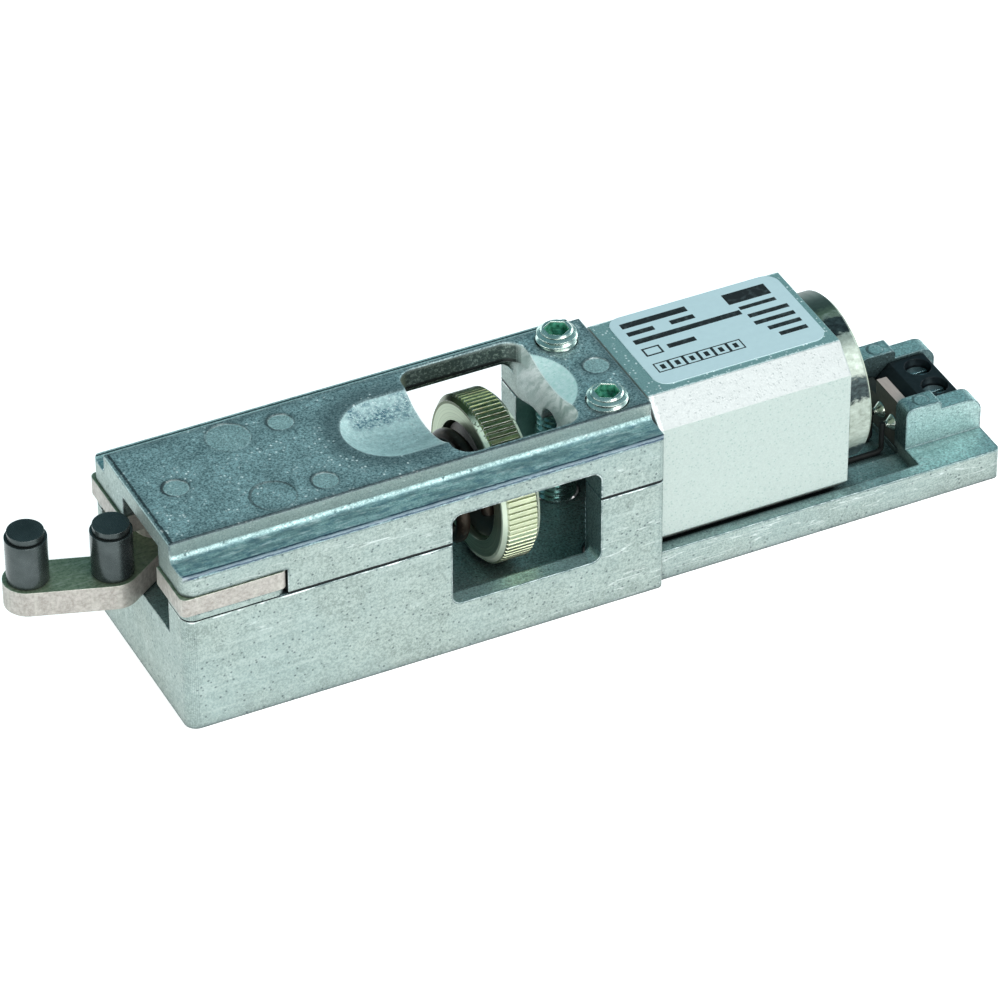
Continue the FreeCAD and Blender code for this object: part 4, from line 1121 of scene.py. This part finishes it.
def cup_point(name, root, radius, low, high):
    """Plain lower end of a set screw, a short cone with a hollow."""
    object_mode()
    bpy.ops.mesh.primitive_cylinder_add(
        vertices=48, radius=root, depth=high - low, location=(0, 0, (low + high) / 2)
    )
    piece = named(name)
    apply_place()
    edit(piece)
    pick(piece, lambda co: co.z < low + near_enough)
    widen(radius / root, radius / root, 1)
    bpy.ops.mesh.inset(thickness=radius * 0.35, depth=0)
    bpy.ops.transform.translate(value=(0, 0, 0.6 * mm))
    object_mode()
    return piece


def threaded_set_screw(node):
    """The set screw with its thread; it stands for the plain solid."""
    low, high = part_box(node)
    middle = (low + high) / 2
    crest = (high.x - low.x) / 2
    root = crest - 0.5 * mm
    length = high.z - low.z
    turns = int((length - 1.7 * mm) / thread_pitch)
    thread_top = -0.68 * mm
    band = thread_turns(node + "_threaded", crest, root, thread_pitch, turns)
    band.location = (0, 0, thread_top - (turns + 1) * thread_pitch)
    take(band)
    apply_place()
    head = socket_end(node + "_socket", crest - 0.1 * mm, 0.8 * mm, 0.05 * mm, 3.3 * mm, 1.1 * mm)
    tip = cup_point(node + "_tip", root, 2.3 * mm, -length, thread_top - turns * thread_pitch)
    take(band)
    head.select_set(True)
    tip.select_set(True)
    bpy.ops.object.join()
    settle(band, (middle.x, middle.y, high.z), 28, "screw_zinc")
    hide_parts(node)
    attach(band, "body")


def solder_bead(name, y):
    """Uneven lump of solder over one joint, with its flat side on the board."""
    object_mode()
    bpy.ops.mesh.primitive_uv_sphere_add(
        segments=32, ring_count=20, radius=1.3 * mm, location=(0, 0, 0)
    )
    piece = named(name)
    edit(piece)
    pick(piece, lambda co: co.x > 0.1 * mm)
    bpy.ops.mesh.delete(type="VERT")
    pick(piece, lambda co: co.x > -0.1 * mm)
    bpy.ops.mesh.edge_face_add()
    pick(piece, lambda co: co.x < -0.35 * mm)
    widen(0.86, 0.86, 0.86)
    pick(piece, lambda co: co.x < -0.75 * mm)
    widen(1.15, 0.8, 0.72)
    pick(piece, lambda co: co.x < -0.1 * mm)
    bpy.ops.transform.vertex_random(offset=0.03 * mm, seed=4)
    bpy.ops.mesh.vertices_smooth(factor=0.5, repeat=3)
    settle(piece, (solder_joint[0], y, solder_joint[1]), 50, "tin_solder")
    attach(piece, "body")


def spring_coils(name, first, last):
    """Coils of the spring between two counts of turns.
    """
    low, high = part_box("compression_spring")
    pitch = (high.x - low.x - spring_wire) / spring_turns
    left = low.x + spring_wire / 2 + pitch * first
    turns = last - first
    object_mode()
    bpy.ops.mesh.primitive_circle_add(
        vertices=24,
        radius=spring_wire / 2,
        location=(spring_radius, 0, 0),
        rotation=(pi / 2, 0, 0),
    )
    piece = named(name)
    apply_place()
    sweep(piece, round(56 * turns), angle=2 * pi * turns, screw_offset=pitch * turns)
    edit(piece)
    bpy.ops.mesh.select_non_manifold()
    bpy.ops.mesh.edge_face_add()
    take(piece)
    piece.rotation_euler = (0, 0, spring_start_angle + 2 * pi * first)
    apply_place()
    piece.rotation_euler = (0, pi / 2, 0)
    settle(piece, (left, 0, axis_height), 50, "oiled_spring")
    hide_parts("compression_spring")
    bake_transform(piece)


threaded_set_screw("set_screw_front")
threaded_set_screw("set_screw_rear")
spring_coils("spring_thrust_end", 0.0, 1.236)
spring_coils("spring_middle", 1.236, 4.236)
spring_coils("spring_wheel_end", 4.236, spring_turns)
solder_bead("solder_bead_middle", -0.5 * mm)
solder_bead("solder_bead_front", -4.0 * mm)


# Camera at the photograph's place, floor and light
def direction(azimuth, elevation):
    """Direction from the object, in degrees; azimuth 0 is the front."""
    a, e = radians(azimuth), radians(elevation)
    return Vector((sin(a) * cos(e), -cos(a) * cos(e), sin(e)))


def camera_at(azimuth, elevation, roll, distance, shift_right, shift_up, lift):
    """Camera that looks at a point shifted in its own view from the one at height lift."""
    a, r = radians(azimuth), radians(roll)
    back = direction(azimuth, elevation)
    right = Vector((cos(a), sin(a), 0))
    up = back.cross(right)
    right, up = right * cos(r) + up * sin(r), up * cos(r) - right * sin(r)
    data = bpy.data.cameras.new("camera")
    data.lens = 219.53
    data.sensor_width = 36
    data.clip_start = 0.01
    data.clip_end = 50
    camera = bpy.data.objects.new("camera", data)
    bpy.context.scene.collection.objects.link(camera)
    place = back * distance + right * shift_right + up * shift_up + Vector((0, 0, lift))
    turn = Matrix((right, up, back)).transposed().to_4x4()
    camera.matrix_world = Matrix.Translation(place) @ turn
    bpy.context.scene.camera = camera


def pale_floor():
    """Wide pale floor that keeps the object's shadow."""
    object_mode()
    bpy.ops.mesh.primitive_circle_add(
        vertices=64, radius=4.0, fill_type="NGON", location=(0, 0, -0.1 * mm)
    )
    floor = named("floor")
    finish, shader = new_shader("floor_pale")
    path = put("LightPath")
    seen = most(path["Is Camera Ray"], most(path["Is Glossy Ray"], path["Is Transmission Ray"]))
    shader["Base Color"] = (0.88, 0.88, 0.88)
    shader["Roughness"] = 0.9
    shader["Specular IOR Level"] = 0.0
    shader["Emission Color"] = (0.76, 0.75, 0.74)
    shader["Emission Strength"] = seen
    floor.data.materials.append(finish)


def soft_box(name, azimuth, elevation, distance, width, height, power, colour):
    """Area light aimed at the middle of the object."""
    away = direction(azimuth, elevation)
    data = bpy.data.lights.new(name, "AREA")
    data.shape = "RECTANGLE"
    data.size = width
    data.size_y = height
    data.energy = power
    data.color = colour
    light = bpy.data.objects.new(name, data)
    light.location = away * distance + Vector((-0.02, 0, 0.015))
    light.rotation_mode = "QUATERNION"
    light.rotation_quaternion = away.to_track_quat("Z", "Y")
    bpy.context.scene.collection.objects.link(light)


def studio_air():
    """Even light from all round."""
    world = bpy.data.worlds.new("studio_air")
    world.use_nodes = True
    world.node_tree.nodes["Background"].inputs["Color"].default_value = (0.115, 0.26, 0.30, 1)
    bpy.context.scene.world = world


camera_at(
    azimuth=-25.853,
    elevation=37.347,
    roll=-0.228,
    distance=863.106 * mm,
    shift_right=-16.146 * mm,
    shift_up=-11.382 * mm,
    lift=18.8 * mm,
)
pale_floor()
soft_box("front_box", -5, 19, 1.0, 1.2, 0.45, 8.5, (1.0, 0.97, 0.95))
soft_box("chamfer_box", 30, 45, 1.0, 0.5, 0.5, 3.5, (1.0, 1.0, 1.0))
soft_box("left_box", -95, 12, 1.0, 0.9, 0.35, 4.1, (0.96, 1.0, 0.96))
soft_box("right_box", 95, 14, 1.0, 0.9, 0.4, 3.5, (0.9, 1.0, 1.0))
soft_box("rear_box", 175, 8, 1.2, 1.2, 0.3, 2.0, (0.85, 1.0, 1.0))
studio_air()
bpy.context.scene.view_settings.view_transform = "Standard"
